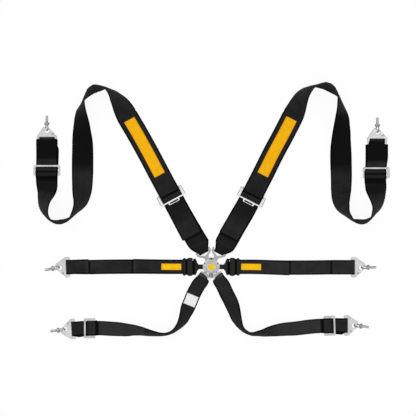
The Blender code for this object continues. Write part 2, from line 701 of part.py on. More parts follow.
def build_shoulder(side):
    name = f"shoulder_{side}"
    ax, ay, turn = ADJUSTER_AT[side]
    base = (ax, ay, turn)
    at = frame(ax, ay, REAR_BAR_Z, turn)
    inner = SHOULDER_W / 2 + SIDE_CLEAR + 0.6
    outer = inner + 2.6
    slide = SLIDE_BAR_Z - REAR_BAR_Z
    front = FRONT_Z0 - REAR_BAR_Z
    f0 = ADJUSTER_FRONT_X - 4
    f1 = ADJUSTER_FRONT_X + 4
    bm = bmesh.new()
    prism(bm, rounded([
        (f0, -50, 2), (f1, -50, 3), (f1, -17.5, 1.5), (f1 + 8.5, -15, 2), (f1 + 8.5, 15, 2),
        (f1, 17.5, 1.5), (f1, 50, 3), (f0, 50, 2),
    ]), front, front + PLATE_T)
    made = solid(f"{name}_adjuster_frame", bm, at, SILVER, 1.0, 0.3)
    cheek = rounded([
        (-7, -3.6, 3), (10, -3.6, 4), (f1 - 1, front - 1, 3), (f1 - 1, front + PLATE_T - 0.2, 1),
        (f0 - 4, front + PLATE_T + 2, 3), (4, slide + 5.5, 4), (-7, 4, 4),
    ])
    stand = Matrix.Rotation(math.pi / 2, 4, "X")
    bm = bmesh.new()
    prism(bm, cheek, inner, outer)
    prism(bm, cheek, -outer, -inner)
    bmesh.ops.transform(bm, matrix=stand, verts=bm.verts)
    rod(bm, REAR_BAR_R, (0, -inner - 1, 0), (0, inner + 1, 0), 20)
    shape(made, bm, at, "UNION")
    bm = bmesh.new()
    hole = rounded(mirrored([(f1 + 2, 12, 1), (f1 + 5.5, 11, 1)]))
    prism(bm, hole, front - 2, front + PLATE_T + 2)
    track = SLIDE_BAR_R + GAP
    x0 = ADJUSTER_SLIDE_X - 3.5 - track
    x1 = ADJUSTER_SLIDE_X + 3.5 + track
    for y in (-1, 1):
        box(bm, x0, x1, min(y * (inner - 1), y * (outer + 1)), max(y * (inner - 1), y * (outer + 1)),
            slide - track, slide + track)
    shape(made, bm, at, "DIFFERENCE")

    bm = bmesh.new()
    rod(bm, SLIDE_BAR_R, (0, -outer - 1.2, 0), (0, outer + 1.2, 0), 20)
    spot = at @ Matrix.Translation((ADJUSTER_SLIDE_X, 0, slide))
    solid(f"{name}_slide_bar", bm, spot, STEEL, 1.0, 0.35)

    build_slider(name, frame(*SLIDER_AT[name][:2], SLIDER_Z0, SLIDER_AT[name][2]), SHOULDER_W)
    build_anchor(name)

    w = SHOULDER_W
    tip = (0, 0, TONGUE_HEADING[name])
    bar = SHOULDER_BAR_X
    rows = lane(tip, [(bar + 42, FLOOR_Z, 60), (bar + 26, FLOOR_Z, 50), (bar + 10, 3.0, TONGUE_W)])
    rows += bend(tip, bar, TONGUE_MID, LOOP_R, 270, 90, TONGUE_W)
    rows += lane(tip, [
        (bar + 4, TONGUE_MID + LOOP_R - 0.2, TONGUE_W + 2), (bar + 14, TONGUE_MID + LOOP_R - 1.8, 48),
        (bar + 26, TONGUE_MID + LOOP_R - 5.5, 62), (bar + 38, SECOND_Z + 1.6, 72), (bar + 48, SECOND_Z, w),
        (bar + 58, FLOOR_Z + 0.5, w), (bar + 68, FLOOR_Z, w), (bar + 90, FLOOR_Z, w),
    ])
    rows += lane(base, [(70, FLOOR_Z, w), (30, FLOOR_Z, w), (10, FLOOR_Z, w)], -1)
    rows += bend(base, 0, REAR_BAR_Z, REAR_LOOP_R, 270, 90, w, -1)
    top = REAR_BAR_Z + REAR_LOOP_R
    rows += lane(base, [
        (4, top - 0.3, w), (12, top - 2.4, w), (24, top - 5.4, w), (34, SECOND_Z, w), (48, SECOND_Z, w),
    ], -1)
    webbing(f"{name}_lower_webbing", smooth(rows), WEB_T, BLACK)

    under = FRONT_Z0 - GAP - WEB_T / 2
    rows = lane(base, [
        (176, SECOND_Z + 0.2, w), (120, SECOND_Z + 0.2, w), (80, SECOND_Z + WEB_T, w), (58, 6.4, w),
        (44, under - 1.6, w),
    ], -1, 2)
    rows += lane(base, [
        (f1, under, w), (f0, under, w), (ADJUSTER_SLIDE_X + 5.5, SLIDE_WEB_Z - 0.9, w),
        (ADJUSTER_SLIDE_X + 3, SLIDE_WEB_Z, w), (ADJUSTER_SLIDE_X - 3, SLIDE_WEB_Z, w),
        (ADJUSTER_SLIDE_X - 6.5, SLIDE_WEB_Z - 0.9, w),
    ], -1)
    rows += lane(base, [(-8, top + 2.2, w), (-24, 7.4, w), (-46, 2.6, w), (-70, FLOOR_Z, w)], -1, 2)
    rows += run(SHOULDER_ROUTE[side], w)
    sx, sy, sh = SLIDER_AT[name]
    b = SLIDER_BAR
    e = 39.0 / 2
    s0 = e - b - (39.0 - 3 * b) / 2
    rows += lane((sx, sy, sh), [
        (-46, FLOOR_Z + 0.8, w), (-32, 4.6, w), (-e - 1.5, OVER_Z, w), (-8, OVER_Z, w), (s0 + 1.0, OVER_Z, w),
        (e - b - 1.0, UNDER_Z, w), (e - 2, UNDER_Z, w), (e + 6, UNDER_Z + 0.2, w),
    ])
    anchor = BRACKET_AT[name]
    back = math.hypot(anchor[0] - sx, anchor[1] - sy)
    rows += lane(anchor, [
        (-60, 4.2, w), (-36, 6.6, w), (-22, 8.6, w), (-13, BAR_Z + LOOP_R - 0.5, 66),
        (-5, BAR_Z + LOOP_R, GATHER_W),
    ])
    rows += bend(anchor, 0, BAR_Z, LOOP_R, 90, -90, GATHER_W)
    rows += lane(anchor, [
        (-5, FLOOR_Z, GATHER_W), (-13, FLOOR_Z, 64), (-24, FLOOR_Z, w - 2), (-back - e - 8, FLOOR_Z, w - 2),
    ])
    upper = smooth(rows)
    webbing(f"{name}_upper_webbing", upper, WEB_T, BLACK)
    low, high, wide = SHOULDER_PATCH[side]
    webbing(f"{name}_patch", band(upper, (low, high), wide), PATCH_T, YELLOW)


def build_lap(side):
    name = f"lap_{side}"
    tip = (0, 0, TONGUE_HEADING[name])
    anchor = BRACKET_AT[name]
    w = BELT_W
    bar = LAP_BAR_X
    top = TONGUE_MID + LOOP_R
    far = math.hypot(anchor[0], anchor[1])
    rows = lane(tip, [
        (LAP_TAIL_END, SECOND_Z, w), (bar + 111, SECOND_Z, w), (bar + 61, SECOND_Z, w),
        (bar + 49, SECOND_Z + 0.6, w), (bar + 31, 7.4, w), (bar + 17, top - 2.6, w), (bar + 7, top - 0.4, w),
    ], 1, 1)
    rows += bend(tip, bar, TONGUE_MID, LOOP_R, 90, 270, w)
    rows += lane(tip, [
        (bar + 7, TONGUE_MID - LOOP_R - 0.1, w), (bar + 29, 3.2, w), (bar + 41, 1.4, w),
        (bar + 53, FLOOR_Z, w),
    ])
    rows += lane(tip, [(bar + 81, FLOOR_Z, w), (far / 2, FLOOR_Z, w)], 1, 1)
    rows += lane(anchor, [(-90, FLOOR_Z, w), (-20, FLOOR_Z, w), (-5, FLOOR_Z, w)])
    rows += bend(anchor, 0, BAR_Z, LOOP_R, -90, 90, w)
    rows += lane(anchor, [
        (-5, BAR_Z + LOOP_R - 0.2, w), (-14, BAR_Z + LOOP_R - 2.4, w), (-26, 4.4, w), (-36, SECOND_Z, w),
        (-76, SECOND_Z, w),
    ])
    strap = smooth(rows)
    webbing(f"{name}_webbing", strap, WEB_T, BLACK)

    ends = [on_radius(bar + x, tip[2]) for x in LAP_PATCH_X]
    patch = band(strap[:7], ends, LAP_PATCH_W)
    webbing(f"{name}_patch", patch, PATCH_T, YELLOW)

    at = frame(0, 0, 0, tip[2])
    # the boot's rows run out from the bar, and its ribs stand out from its plain wall
    neck = TONGUE_HALF["lap"]
    inside = LAP_HALF + 0.6
    plain = inside + BOOT_WALL
    rib = plain + BOOT_RIB
    bm = bmesh.new()
    loft(bm, [
        (bar - 23.5, neck + 2.1, 4.6, 13.0), (bar - 20, neck + 4.5, 3.5, 14.5),
        (bar - 14, plain - 2.5, 1.0, 17.0),
        (bar - 11, plain + 0.6, 0.5, 18.2), (bar - 8, plain, 0.5, 17.4), (bar - 4.5, plain, 0.5, 17.2),
        (bar + 1, plain + 0.8, 0.5, 18.0), (bar + 8.5, rib, 0.4, 18.8), (bar + 13, plain + 0.8, 0.4, 18.0),
        (bar + 18, plain, 0.4, 17.2), (bar + 22, plain + 0.6, 0.3, 17.2), (bar + 26, rib - 0.6, 0.3, 16.6),
        (bar + 29.5, plain - 0.4, 0.3, 14.0), (bar + 32.5, plain - 1.6, 0.3, 12.2),
    ])
    boot = solid(f"{name}_adjuster_boot", bm, at, BLACK, 0.0, 0.7)
    bm = bmesh.new()
    loft(bm, [
        (bar - 26, neck + 0.7, 6.2, 11.6), (bar - 19, neck + 0.9, 6.0, 12.0),
        (bar - 15.5, inside - 5.4, 4.4, 13.4),
        (bar - 11, inside, 2.4, 15.6), (bar + 21, inside, 1.6, 15.6), (bar + 28, inside - 0.6, 1.2, 12.0),
        (bar + 35, inside - 1.4, 1.0, 10.8),
    ])
    shape(boot, bm, at, "DIFFERENCE")
    build_anchor(name)


def build_leg(side):
    name = f"leg_{side}"
    tip = (0, 0, TONGUE_HEADING[name])
    w = BELT_W
    bar = LEG_BAR_X
    x, y = on_radius(bar, tip[2])
    first = LEG_ROUTE[side][0]
    aim = math.degrees(math.atan2(first[1] - y, first[0] - x))
    fold = (x, y, aim)
    top = TONGUE_MID + LOOP_R
    rows = lane(fold, [(52, FLOOR_Z, 46), (26, FLOOR_Z + 0.4, 38), (11, 3.0, 26)])
    rows += bend(tip, bar, TONGUE_MID, LOOP_R, 270, 90, LEG_END_W)
    rows += lane(fold, [
        (5, top - 0.3, 25), (12, top - 2.0, 33), (22, top - 5.4, 44), (34, 5.0, w), (50, 3.4, w),
    ], 1, 2)
    route = run(LEG_ROUTE[side], w)
    rows += route
    sx, sy, sh = SLIDER_AT[name]
    e = 41.0 / 2
    b = SLIDER_BAR
    s0 = e - b - (41.0 - 3 * b) / 2
    rows += lane((sx, sy, sh), [
        (-46, FLOOR_Z + 0.8, w), (-32, 4.6, w), (-e - 1.5, OVER_Z, w), (-8, OVER_Z, w), (s0 + 1.0, OVER_Z, w),
        (e - b - 1.0, UNDER_Z, w), (e - 2, UNDER_Z, w), (e + 4, UNDER_Z + 0.3, w),
    ])
    anchor = BRACKET_AT[name]
    back = math.hypot(anchor[0] - sx, anchor[1] - sy)
    rows += lane(anchor, [(-24, 6.2, w), (-13, BAR_Z + LOOP_R - 1.2, w), (-5, BAR_Z + LOOP_R, w)])
    rows += bend(anchor, 0, BAR_Z, LOOP_R, 90, -90, w)
    rows += lane(anchor, [(-5, FLOOR_Z, w), (-24, FLOOR_Z, w - 2), (-back - e - 8, FLOOR_Z, w - 2)])
    strap = smooth(rows)
    webbing(f"{name}_webbing", strap, WEB_T, BLACK)
    if side == "left":
        webbing("leg_left_label", band(strap, LABEL_ENDS, LABEL_W), PATCH_T, WHITE)
    build_slider(name, frame(sx, sy, SLIDER_Z0, sh), BELT_W)
    build_anchor(name)


build_buckle()
build_tongues()
for hand in ("left", "right"):
    build_shoulder(hand)
    build_lap(hand)
    build_leg(hand)
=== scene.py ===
import json
import math

import bpy
from mathutils import Matrix, Vector

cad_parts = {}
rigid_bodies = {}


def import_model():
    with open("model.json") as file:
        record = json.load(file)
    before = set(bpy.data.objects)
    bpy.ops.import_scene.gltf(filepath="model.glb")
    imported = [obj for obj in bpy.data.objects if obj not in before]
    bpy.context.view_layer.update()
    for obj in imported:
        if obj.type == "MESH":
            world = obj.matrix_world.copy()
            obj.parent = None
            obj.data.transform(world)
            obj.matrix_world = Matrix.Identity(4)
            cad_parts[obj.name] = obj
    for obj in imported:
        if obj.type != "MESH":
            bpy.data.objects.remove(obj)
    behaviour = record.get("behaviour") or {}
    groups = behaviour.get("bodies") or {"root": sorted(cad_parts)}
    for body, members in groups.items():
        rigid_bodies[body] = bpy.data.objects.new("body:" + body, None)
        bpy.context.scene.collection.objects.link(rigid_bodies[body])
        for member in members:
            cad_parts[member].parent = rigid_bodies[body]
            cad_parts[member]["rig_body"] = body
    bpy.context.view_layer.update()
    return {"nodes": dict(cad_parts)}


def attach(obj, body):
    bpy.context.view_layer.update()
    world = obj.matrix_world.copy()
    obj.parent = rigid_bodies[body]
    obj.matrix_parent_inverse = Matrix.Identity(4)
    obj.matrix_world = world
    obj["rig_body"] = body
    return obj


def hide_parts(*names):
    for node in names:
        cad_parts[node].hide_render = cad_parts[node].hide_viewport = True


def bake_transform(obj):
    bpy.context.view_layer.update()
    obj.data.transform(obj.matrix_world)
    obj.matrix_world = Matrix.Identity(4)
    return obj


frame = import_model()
bodyOf = {node: part["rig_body"] for node, part in frame["nodes"].items()}
mm = 0.001
sides = ("left", "right")
print("frame:", len(bodyOf), "parts")


class Wire:
    # a shader value, so that shader sums read as plain sums
    def __init__(self, finish, socket):
        self.finish = finish
        self.socket = socket

    def maths(self, operation, *values):
        return self.finish.node("Math", {"operation": operation}, dict(enumerate(values)))

    def wave(self, length):
        return self.maths("SINE", self * (math.tau / length))

    def __add__(self, other):
        return self.maths("ADD", self, other)

    def __sub__(self, other):
        return self.maths("SUBTRACT", self, other)

    def __rsub__(self, other):
        return self.maths("SUBTRACT", other, self)

    def __mul__(self, other):
        return self.maths("MULTIPLY", self, other)

    __radd__ = __add__
    __rmul__ = __mul__


class Finish:
    # a material, or the world's own nodes
    def __init__(self, name, tree=None):
        if tree is None:
            self.material = bpy.data.materials.new(name)
            self.material.use_nodes = True
            tree = self.material.node_tree
        self.tree = tree

    def feed(self, socket, value):
        if isinstance(value, Wire):
            self.tree.links.new(value.socket, socket)
        else:
            socket.default_value = (*value, 1) if socket.type == "RGBA" else value

    def node(self, kind, settings=None, plugs=None, output=0):
        made = self.tree.nodes.new("ShaderNode" + kind)
        for key, value in (settings or {}).items():
            if key == "stops":
                ramp = made.color_ramp.elements
                while len(ramp) < len(value):
                    ramp.new(0.5)
                for stop, (spot, level) in zip(ramp, value):
                    stop.position = spot
                    stop.color = (level, level, level, 1)
            else:
                setattr(made, key, value)
        for key, value in (plugs or {}).items():
            self.feed(made.inputs[key], value)
        return Wire(self, made.outputs[output])

    def shade(self, plugs):
        shader = self.tree.nodes["Principled BSDF"]
        for key, value in plugs.items():
            self.feed(shader.inputs[key], value)
        return self.material

    def mix(self, share, low, high):
        return self.node("Mix", {"data_type": "RGBA"}, {0: share, 6: low, 7: high}, 2)

    def step(self, value, start, end):
        plugs = {"Value": value, "From Min": start, "From Max": end}
        return self.node("MapRange", {"interpolation_type": "SMOOTHSTEP"}, plugs)

    def noise(self, scale, detail):
        spot = self.node("TexCoord", output="Object")
        return self.node("TexNoise", {}, {"Vector": spot, "Scale": scale, "Detail": detail})

    def rubbed(self, end):
        # the outer edges of a piece
        return self.step(self.node("NewGeometry", output="Pointiness"), 0.5, end)

    def painted(self, name):
        return self.node("Attribute", {"attribute_name": name}, {}, "Fac")

    def strapPlace(self):
        # millimetres across and along a strap, and from its nearest side and end
        weave = self.node("UVMap", {"uv_map": "weave"})
        places = [self.node("SeparateXYZ", {}, {0: weave}, axis) for axis in "XY"]
        places += [self.painted(name) for name in ("sideGap", "endGap")]
        return [metres * (1 / mm) for metres in places]

    def bump(self, relief, strength, depth):
        return self.node("Bump", {}, {"Height": relief, "Strength": strength, "Distance": depth * mm})


# the photo is taken from straight above
shot = {
    "mmPerPixel": 3.57, "pixels": 416, "bucklePixel": (211.2, 266.8), "height": 9500, "sensor": 36,
    "clipEnd": 100,
}
studio = {
    "sky": [(0.0, 0.37), (0.25, 0.48), (0.5, 0.66), (0.75, 1.08), (1.0, 1.02)],
    "floor": (0.9, 0.9, 0.9), "floorSize": 30, "floorDrop": 0.0006, "floorGlow": 0.94, "aim": (0, 0.2, 0),
    "lamps": [((-1.7, 1.9, 3.2), 2.0, 26), ((2.0, -1.2, 3.0), 1.8, 10)],
}


def setStage():
    deselect()
    white = (1, 1, 1)
    scale = shot["mmPerPixel"] * mm
    middle = shot["pixels"] / 2
    x = (middle - shot["bucklePixel"][0]) * scale
    y = (shot["bucklePixel"][1] - middle) * scale
    bpy.ops.object.camera_add(location=(x, y, shot["height"] * mm), rotation=(0, 0, 0))
    camera = bpy.context.object
    camera.data.sensor_width = shot["sensor"]
    camera.data.lens = shot["sensor"] * shot["height"] / (shot["mmPerPixel"] * shot["pixels"])
    camera.data.clip_end = shot["clipEnd"]
    bpy.context.scene.camera = camera

    bpy.ops.mesh.primitive_plane_add(size=studio["floorSize"], location=(0, 0, -studio["floorDrop"]))
    floor = bpy.context.object
    floor.name = "floor"
    pale = Finish("paleFloor")
    floor.data.materials.append(pale.shade({"Base Color": studio["floor"], "Roughness": 0.9}))
    seen = pale.node("LightPath", output="Is Camera Ray")
    for ray in ("Is Glossy Ray", "Is Transmission Ray"):
        seen = seen + pale.node("LightPath", output=ray)
    glow = pale.node("Emission", {}, {"Color": white})
    surface = Wire(pale, pale.tree.nodes["Principled BSDF"].outputs[0])
    both = pale.node("MixShader", {}, {0: seen * studio["floorGlow"], 1: surface, 2: glow})
    pale.feed(pale.tree.nodes["Material Output"].inputs["Surface"], both)

    world = bpy.data.worlds.new("studio")
    world.use_nodes = True
    bpy.context.scene.world = world
    sky = Finish("studio", world.node_tree)
    toward = sky.node("TexCoord", output="Generated")
    rise = sky.node("SeparateXYZ", {}, {0: toward}, "Z")
    light = sky.node("ValToRGB", {"stops": studio["sky"]}, {0: rise})
    shown = sky.mix(sky.node("LightPath", output="Is Camera Ray"), light, white)
    sky.feed(world.node_tree.nodes["Background"].inputs["Color"], shown)

    for spot, size, power in studio["lamps"]:
        bpy.ops.object.light_add(type="AREA", location=spot)
        lamp = bpy.context.object
        lamp.data.size = size
        lamp.data.energy = power
        lamp.rotation_euler = (Vector(studio["aim"]) - Vector(spot)).to_track_quat("-Z", "Y").to_euler()
    bpy.context.scene.view_settings.view_transform = "Standard"
    print("stage:", len(studio["lamps"]), "lamps")


# black webbing: ribbed herringbone between two plain dark selvedges; the selvedges' near black is also the
# painted shade, and pale is the painted highlight
webbingLook = {
    "body": (0.0055, 0.0055, 0.0057), "light": (0.0195, 0.0195, 0.02), "selvedgeAndShade": (0.0004, 0.0004, 0.0004),
    "line": (0.026, 0.026, 0.027), "pale": (0.08, 0.08, 0.082), "panel": 6.2, "twill": 1.9, "rib": 1.25,
}


def webbingFinish(name):
    look = webbingLook
    cloth = Finish(name)
    across, along, side, end = cloth.strapPlace()
    panel = across.maths("PINGPONG", across + 200, look["panel"])
    twill = (along + panel).wave(look["twill"])
    inner = cloth.step(side, 5.2, 6.2)
    line = cloth.step(side, 6.0, 6.9) * (1 - cloth.step(side, 7.6, 8.8))
    ribs, picks = (way.wave(look["rib"]) for way in (across, along))
    relief = inner * (twill * 0.5 + ribs * 0.4) + (1 - inner) * picks * 0.4
    worn = cloth.noise(34, 4)
    share = cloth.step(relief * 0.25 + worn * 0.8 + cloth.noise(6, 2) * 0.5, 0.35, 0.95)
    colour = cloth.mix(share, look["body"], look["light"])
    colour = cloth.mix(inner, look["selvedgeAndShade"], colour)
    colour = cloth.mix(line * 0.6, colour, look["line"])
    # painted light along the strap: above nought painted shade towards near black, below nought painted
    # highlight towards pale; the last 2 mm at each end are darker too
    tone = cloth.painted("tone")
    dark = tone.maths("MAXIMUM", cloth.step(tone, 0.0, 1.0), 1 - cloth.step(end, 0.5, 2.0))
    colour = cloth.mix(cloth.step(0 - tone, 0.0, 1.0), colour, look["pale"])
    colour = cloth.mix(dark, colour, look["selvedgeAndShade"])
    return cloth.shade({
        "Base Color": colour, "Roughness": 0.55 + worn * 0.14 + (1 - inner) * 0.2 + dark * 0.2,
        "Specular IOR Level": 0.11, "Normal": cloth.bump(relief, 0.55, 0.35),
    })


def times(colour, share):
    return tuple(min(1.0, c * share) for c in colour)


def patchFinish(name, colour, edge):
    cloth = Finish(name)
    across, along, side, end = cloth.strapPlace()
    border = 1 - cloth.step(side.maths("MINIMUM", side, end), 1.5, 2.1)
    satin = (along + across * 0.6).wave(0.9)
    cords = (along + across).wave(0.75)
    relief = satin * 0.3 * (1 - border) + cords * 0.6 * border + border * 0.8
    worn = cloth.noise(60, 4)
    body = cloth.mix(cloth.step(worn + satin * 0.12, 0.25, 0.75), times(colour, 0.88), colour)
    return cloth.shade({
        "Base Color": cloth.mix(border * 0.75, body, edge), "Roughness": 0.7 + worn * 0.2,
        "Specular IOR Level": 0.1, "Normal": cloth.bump(relief, 0.5, 0.3),
    })


def threadFinish(name, colour):
    thread = Finish(name)
    grain = thread.noise(900, 3)
    return thread.shade({
        "Base Color": thread.mix(grain, times(colour, 0.6), colour), "Roughness": 0.55 + grain * 0.2,
        "Normal": thread.bump(grain, 0.4, 0.1),
    })


def metalFinish(name, level, roughness, wear, cloudSize, rim):
    # plated steel: fine tumbled grain, brighter where edges are rubbed, and painted shade on the stamped
    # sides
    metal = Finish(name)
    colour = (level, level, level * 1.01)
    grain, cloud = metal.noise(900, 3), metal.noise(cloudSize, 4)
    rubbed = metal.rubbed(0.6)
    body = metal.mix(metal.step(cloud, 0.3, 0.7), times(colour, 1 - wear), colour)
    body = metal.mix(rubbed * 0.7, body, times(colour, 1 + wear))
    # painted shade on the stamped sides, as much as rim asks
    if rim:
        body = metal.mix(metal.painted("sheared") * rim, body, times(colour, 0.25))
    return metal.shade({
        "Base Color": body, "Metallic": 1.0,
        "Roughness": roughness + cloud * 0.1 + grain * 0.06 - rubbed * 0.06,
        "Normal": metal.bump(grain + cloud * 0.5, 0.12, 0.12),
    })


def mouldedFinish(name, level, roughness, grainSize, depth):
    # moulded rubber or a black coat: fine pebble grain, dust-grey on the high spots, and painted shade, near
    # black, in the grooves
    skin = Finish(name)
    dust = level * 2.2 + 0.004
    cloud = skin.noise(30, 4)
    share = cloud * 0.5 + skin.rubbed(0.62) * 0.5
    body = skin.mix(share, (level, level, level * 1.05), (dust, dust, dust * 1.04))
    groove = skin.step(skin.painted("groove"), 0, 0.8)
    return skin.shade({
        "Base Color": skin.mix(groove, body, (0.0002, 0.0002, 0.0002)), "Specular IOR Level": 0.1,
        "Roughness": roughness + cloud * 0.15 + groove * 0.3,
        "Normal": skin.bump(skin.noise(grainSize, 2), 0.35, depth),
    })


def badgeFinish(name):
    skin = Finish(name)
    fleck, cloud = skin.noise(700, 2), skin.noise(120, 3)
    return skin.shade({
        "Base Color": skin.mix(skin.step(cloud, 0.3, 0.7), (0.78, 0.50, 0.002), (0.86, 0.60, 0.003)),
        "Roughness": 0.4 + fleck * 0.12, "Specular IOR Level": 0.2, "Coat Weight": 0.08 + cloud * 0.06,
        "Coat Roughness": 0.2, "Normal": skin.bump(fleck, 0.08, 0.08),
    })


# each finish: the record's slot, the function that makes it and what that takes
finishes = {
    "blackWebbing": ("webbing", webbingFinish),
    "blackThread": ("webbing", threadFinish, (0.02, 0.02, 0.021)),
    "amberPatch": ("patch", patchFinish, (0.93, 0.46, 0.003), (0.82, 0.36, 0.002)),
    "yellowPatch": ("patch", patchFinish, (0.98, 0.55, 0.004), (0.90, 0.46, 0.003)),
    "amberThread": ("patch", threadFinish, (0.80, 0.36, 0.006)),
    "whiteLabel": ("label", patchFinish, (0.88, 0.88, 0.87), (0.74, 0.74, 0.72)),
    "whiteThread": ("label", threadFinish, (0.75, 0.75, 0.73)),
    # for metal: grey level, roughness, wear, cloud size, and how much painted shade goes on the stamped sides
    "satinPlate": ("bright_metal", metalFinish, 0.62, 0.24, 0.14, 45, 0.8),
    "brightPlate": ("bright_metal", metalFinish, 0.80, 0.26, 0.06, 45, 0),
    "castAlloy": ("bright_metal", metalFinish, 0.51, 0.30, 0.34, 170, 0),
    "dialPlate": ("bright_metal", metalFinish, 0.60, 0.28, 0.3, 170, 0),
    "tonguePlate": ("bright_metal", metalFinish, 0.42, 0.28, 0.2, 45, 0.6),
    "sliderPlate": ("bright_metal", metalFinish, 0.58, 0.26, 0.18, 45, 0.35),
    "threadSteel": ("bright_metal", metalFinish, 0.66, 0.2, 0.12, 45, 0),
    "boltSteel": ("bright_metal", metalFinish, 0.36, 0.22, 0.22, 45, 0),
    "gateSteel": ("dark_steel", metalFinish, 0.72, 0.26, 0.12, 45, 0.9),
    "zincSteel": ("dark_steel", metalFinish, 0.28, 0.32, 0.18, 45, 0),
    # near black: the screw heads, and the painted shade on the buckle
    "blackOxide": ("dark_steel", metalFinish, 0.05, 0.5, 0.2, 45, 0),
    "blackCoat": ("black_steel", mouldedFinish, 0.010, 0.38, 1400, 0.08),
    "bootRubber": ("boot", mouldedFinish, 0.0105, 0.55, 900, 0.2),
    "yellowBadge": ("badge", badgeFinish),
}
materials = {name: make(name, *look) for name, (slot, make, *look) in finishes.items()}
print("finishes:", len(materials))


def dress(piece, finish, nodes=(), body=None):
    # a finish, the parts that the piece stands for and the body that it moves with
    piece.data.materials.clear()
    piece.data.materials.append(materials[finish])
    if nodes:
        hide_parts(*nodes)
    if body:
        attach(piece, body)
    return piece


def deselect():
    bpy.ops.object.select_all(action="DESELECT")


def pick(piece, edit=False):
    deselect()
    bpy.context.view_layer.objects.active = piece
    piece.select_set(True)
    if edit:
        bpy.ops.object.mode_set(mode="EDIT")
        bpy.ops.mesh.select_all(action="SELECT")


# how near two points are merged: in metres, or in millimetres for what is made on the bench
weld = {"none": 0, "metres": 0.000001, "cad": 0.00001, "bench": 0.0005, "stamped": 0.002}


def closeUp(piece, kind, angle):
    # merges doubles, turns the faces outwards and smooths all but the sharp edges
    pick(piece, edit=True)
    if weld[kind]:
        bpy.ops.mesh.remove_doubles(threshold=weld[kind])
    bpy.ops.mesh.normals_make_consistent(inside=False)
    bpy.ops.object.mode_set(mode="OBJECT")
    bpy.ops.object.shade_smooth_by_angle(angle=math.radians(angle))
    return piece


def applied(piece, kind, **settings):
    pick(piece)
    step = piece.modifiers.new(kind, kind)
    for key, value in settings.items():
        setattr(step, key, value)
    bpy.ops.object.modifier_apply(modifier=step.name)
    return piece


def flatFaced(piece):
    # large flats keep their own normals beside narrow eased edges
    return applied(piece, "WEIGHTED_NORMAL", keep_sharp=True)


def added(name, data):
    piece = bpy.data.objects.new(name, data)
    bpy.context.scene.collection.objects.link(piece)
    return piece


def fromPoints(name, points, faces, scale=mm):
    mesh = bpy.data.meshes.new(name)
    mesh.from_pydata([p * scale for p in points], [], faces)
    mesh.update()
    return added(name, mesh)


def ringFaces(rings, count, first=0, closed=False):
    # four-sided faces from each ring of points to the next
    faces = []
    for i in range(rings if closed else rings - 1):
        low, high = first + i * count, first + (i + 1) % rings * count
        for k in range(count):
            n = (k + 1) % count
            faces.append((low + k, low + n, high + n, high + k))
    return faces


def paint(piece, key, values):
    piece.data.attributes.new(key, "FLOAT", "POINT").data.foreach_set("value", values)


def shift(x, y, z=0):
    return Matrix.Translation((x, y, z))


def spin(degrees, axis="Z"):
    return Matrix.Rotation(math.radians(degrees), 4, axis)


def place(x, y, z, heading, pitch=0):
    return shift(x, y, z) @ spin(heading) @ spin(-pitch, "Y")


def settle(piece, where=Matrix()):
    # millimetres on the bench to metres on the harness
    piece.data.transform(Matrix.Scale(mm, 4) @ where)
    piece.data.update()
    return piece


def fit(model, name, where, finish, node, stands=True):
    # a copy of a model with a mesh of its own, in its place on the body of the part that it belongs to
    piece = settle(added(name, model.data.copy()), where)
    dress(piece, finish, [node] if stands else (), bodyOf[node])


def clearBench(*models):
    for model in models:
        bpy.data.objects.remove(model)


# straps: rows of centre, cross direction and width, in millimetres
webbing = {
    "thick": 1.6, "shoulder": 77.0, "belt": 51.8, "gather": 54.0, "tongue": 35.0, "legEnd": 23.0,
    "step": 3.6, "hem": 13.0, "hemThick": 1.5, "seams": (4, 9), "seamInset": 5,
    "edge": [(0.0, 0.28), (0.25, 0.6), (0.8, 0.9), (1.8, 1.0), (5.6, 1.0), (6.3, 0.86), (7.2, 1.0)],
    "middle": 6, "bow": 7.5, "shade": 0.5,
}
height = {
    "floor": 0.8, "second": 2.7, "under": 2.9, "slider": 4.0, "over": 8.1, "loop": 4.734, "bar": 5.534,
    "rearLoop": 4.2, "rear": 5.0, "slide": 11.5, "slideWeb": 15.2, "front": 12.2, "tongue": 8.8,
}
# the top of the webbing's centre line round each bar
crest, barTop, tongueTop = (
    height[bar] + height[loop] for bar, loop in (("rear", "rearLoop"), ("bar", "loop"), ("tongue", "loop"))
)


def between(a, b, t):
    return a + (b - a) * t


def lane(base, wide, rows, side=1):
    # rows of distance along a heading and height, then a width and a shift of their own if they have them
    x, y, heading = base
    a = math.radians(heading)
    ahead = Vector((math.cos(a), math.sin(a), 0))
    cross = Vector((-math.sin(a), math.cos(a), 0)) * side
    out = []
    for s, z, *own in rows:
        spot = Vector((x, y, z)) + ahead * s + cross * sum(own[1:])
        out.append((spot, cross, own[0] if own else wide))
    return out


def bend(base, s, z, radius, start, end, width, side=1, flare=()):
    # round a bar: the last rows can flare, where the webbing spreads once it is through its slot
    count = 8
    widths = [width] * (count + 1 - len(flare)) + list(flare)
    rows = []
    for k, wide in enumerate(widths):
        a = math.radians(between(start, end, k / count))
        rows.append((s + radius * math.cos(a), z + radius * math.sin(a), wide))
    return lane(base, width, rows, side)


def run(points, width):
    # points of x, y and roll: an edge that stands up rests on the floor and bows
    rows = []
    for i, (x, y, roll) in enumerate(points):
        before = points[max(i - 1, 0)]
        after = points[min(i + 1, len(points) - 1)]
        a = math.atan2(after[1] - before[1], after[0] - before[0])
        tilt = math.radians(roll)
        cross = Vector((-math.sin(a), math.cos(a), 0)) * math.cos(tilt) + Vector((0, 0, math.sin(tilt)))
        spot = Vector((x, y, height["floor"] + width / 2 * abs(math.sin(tilt))))
        rows.append((spot, cross, width, webbing["bow"] * math.sin(tilt) ** 4))
    return rows


def slope(rows, i):
    # the line's direction at a row, level where the strap turns from rising to falling
    if i == 0 or i == len(rows) - 1:
        return Vector((0, 0, 0))
    first, second = rows[i][0] - rows[i - 1][0], rows[i + 1][0] - rows[i][0]
    before, after = max(first.length, 1e-6), max(second.length, 1e-6)
    mean = (first * (after / before) + second * (before / after)) / (before + after)
    if first.z * second.z <= 0:
        mean.z = 0
    return mean


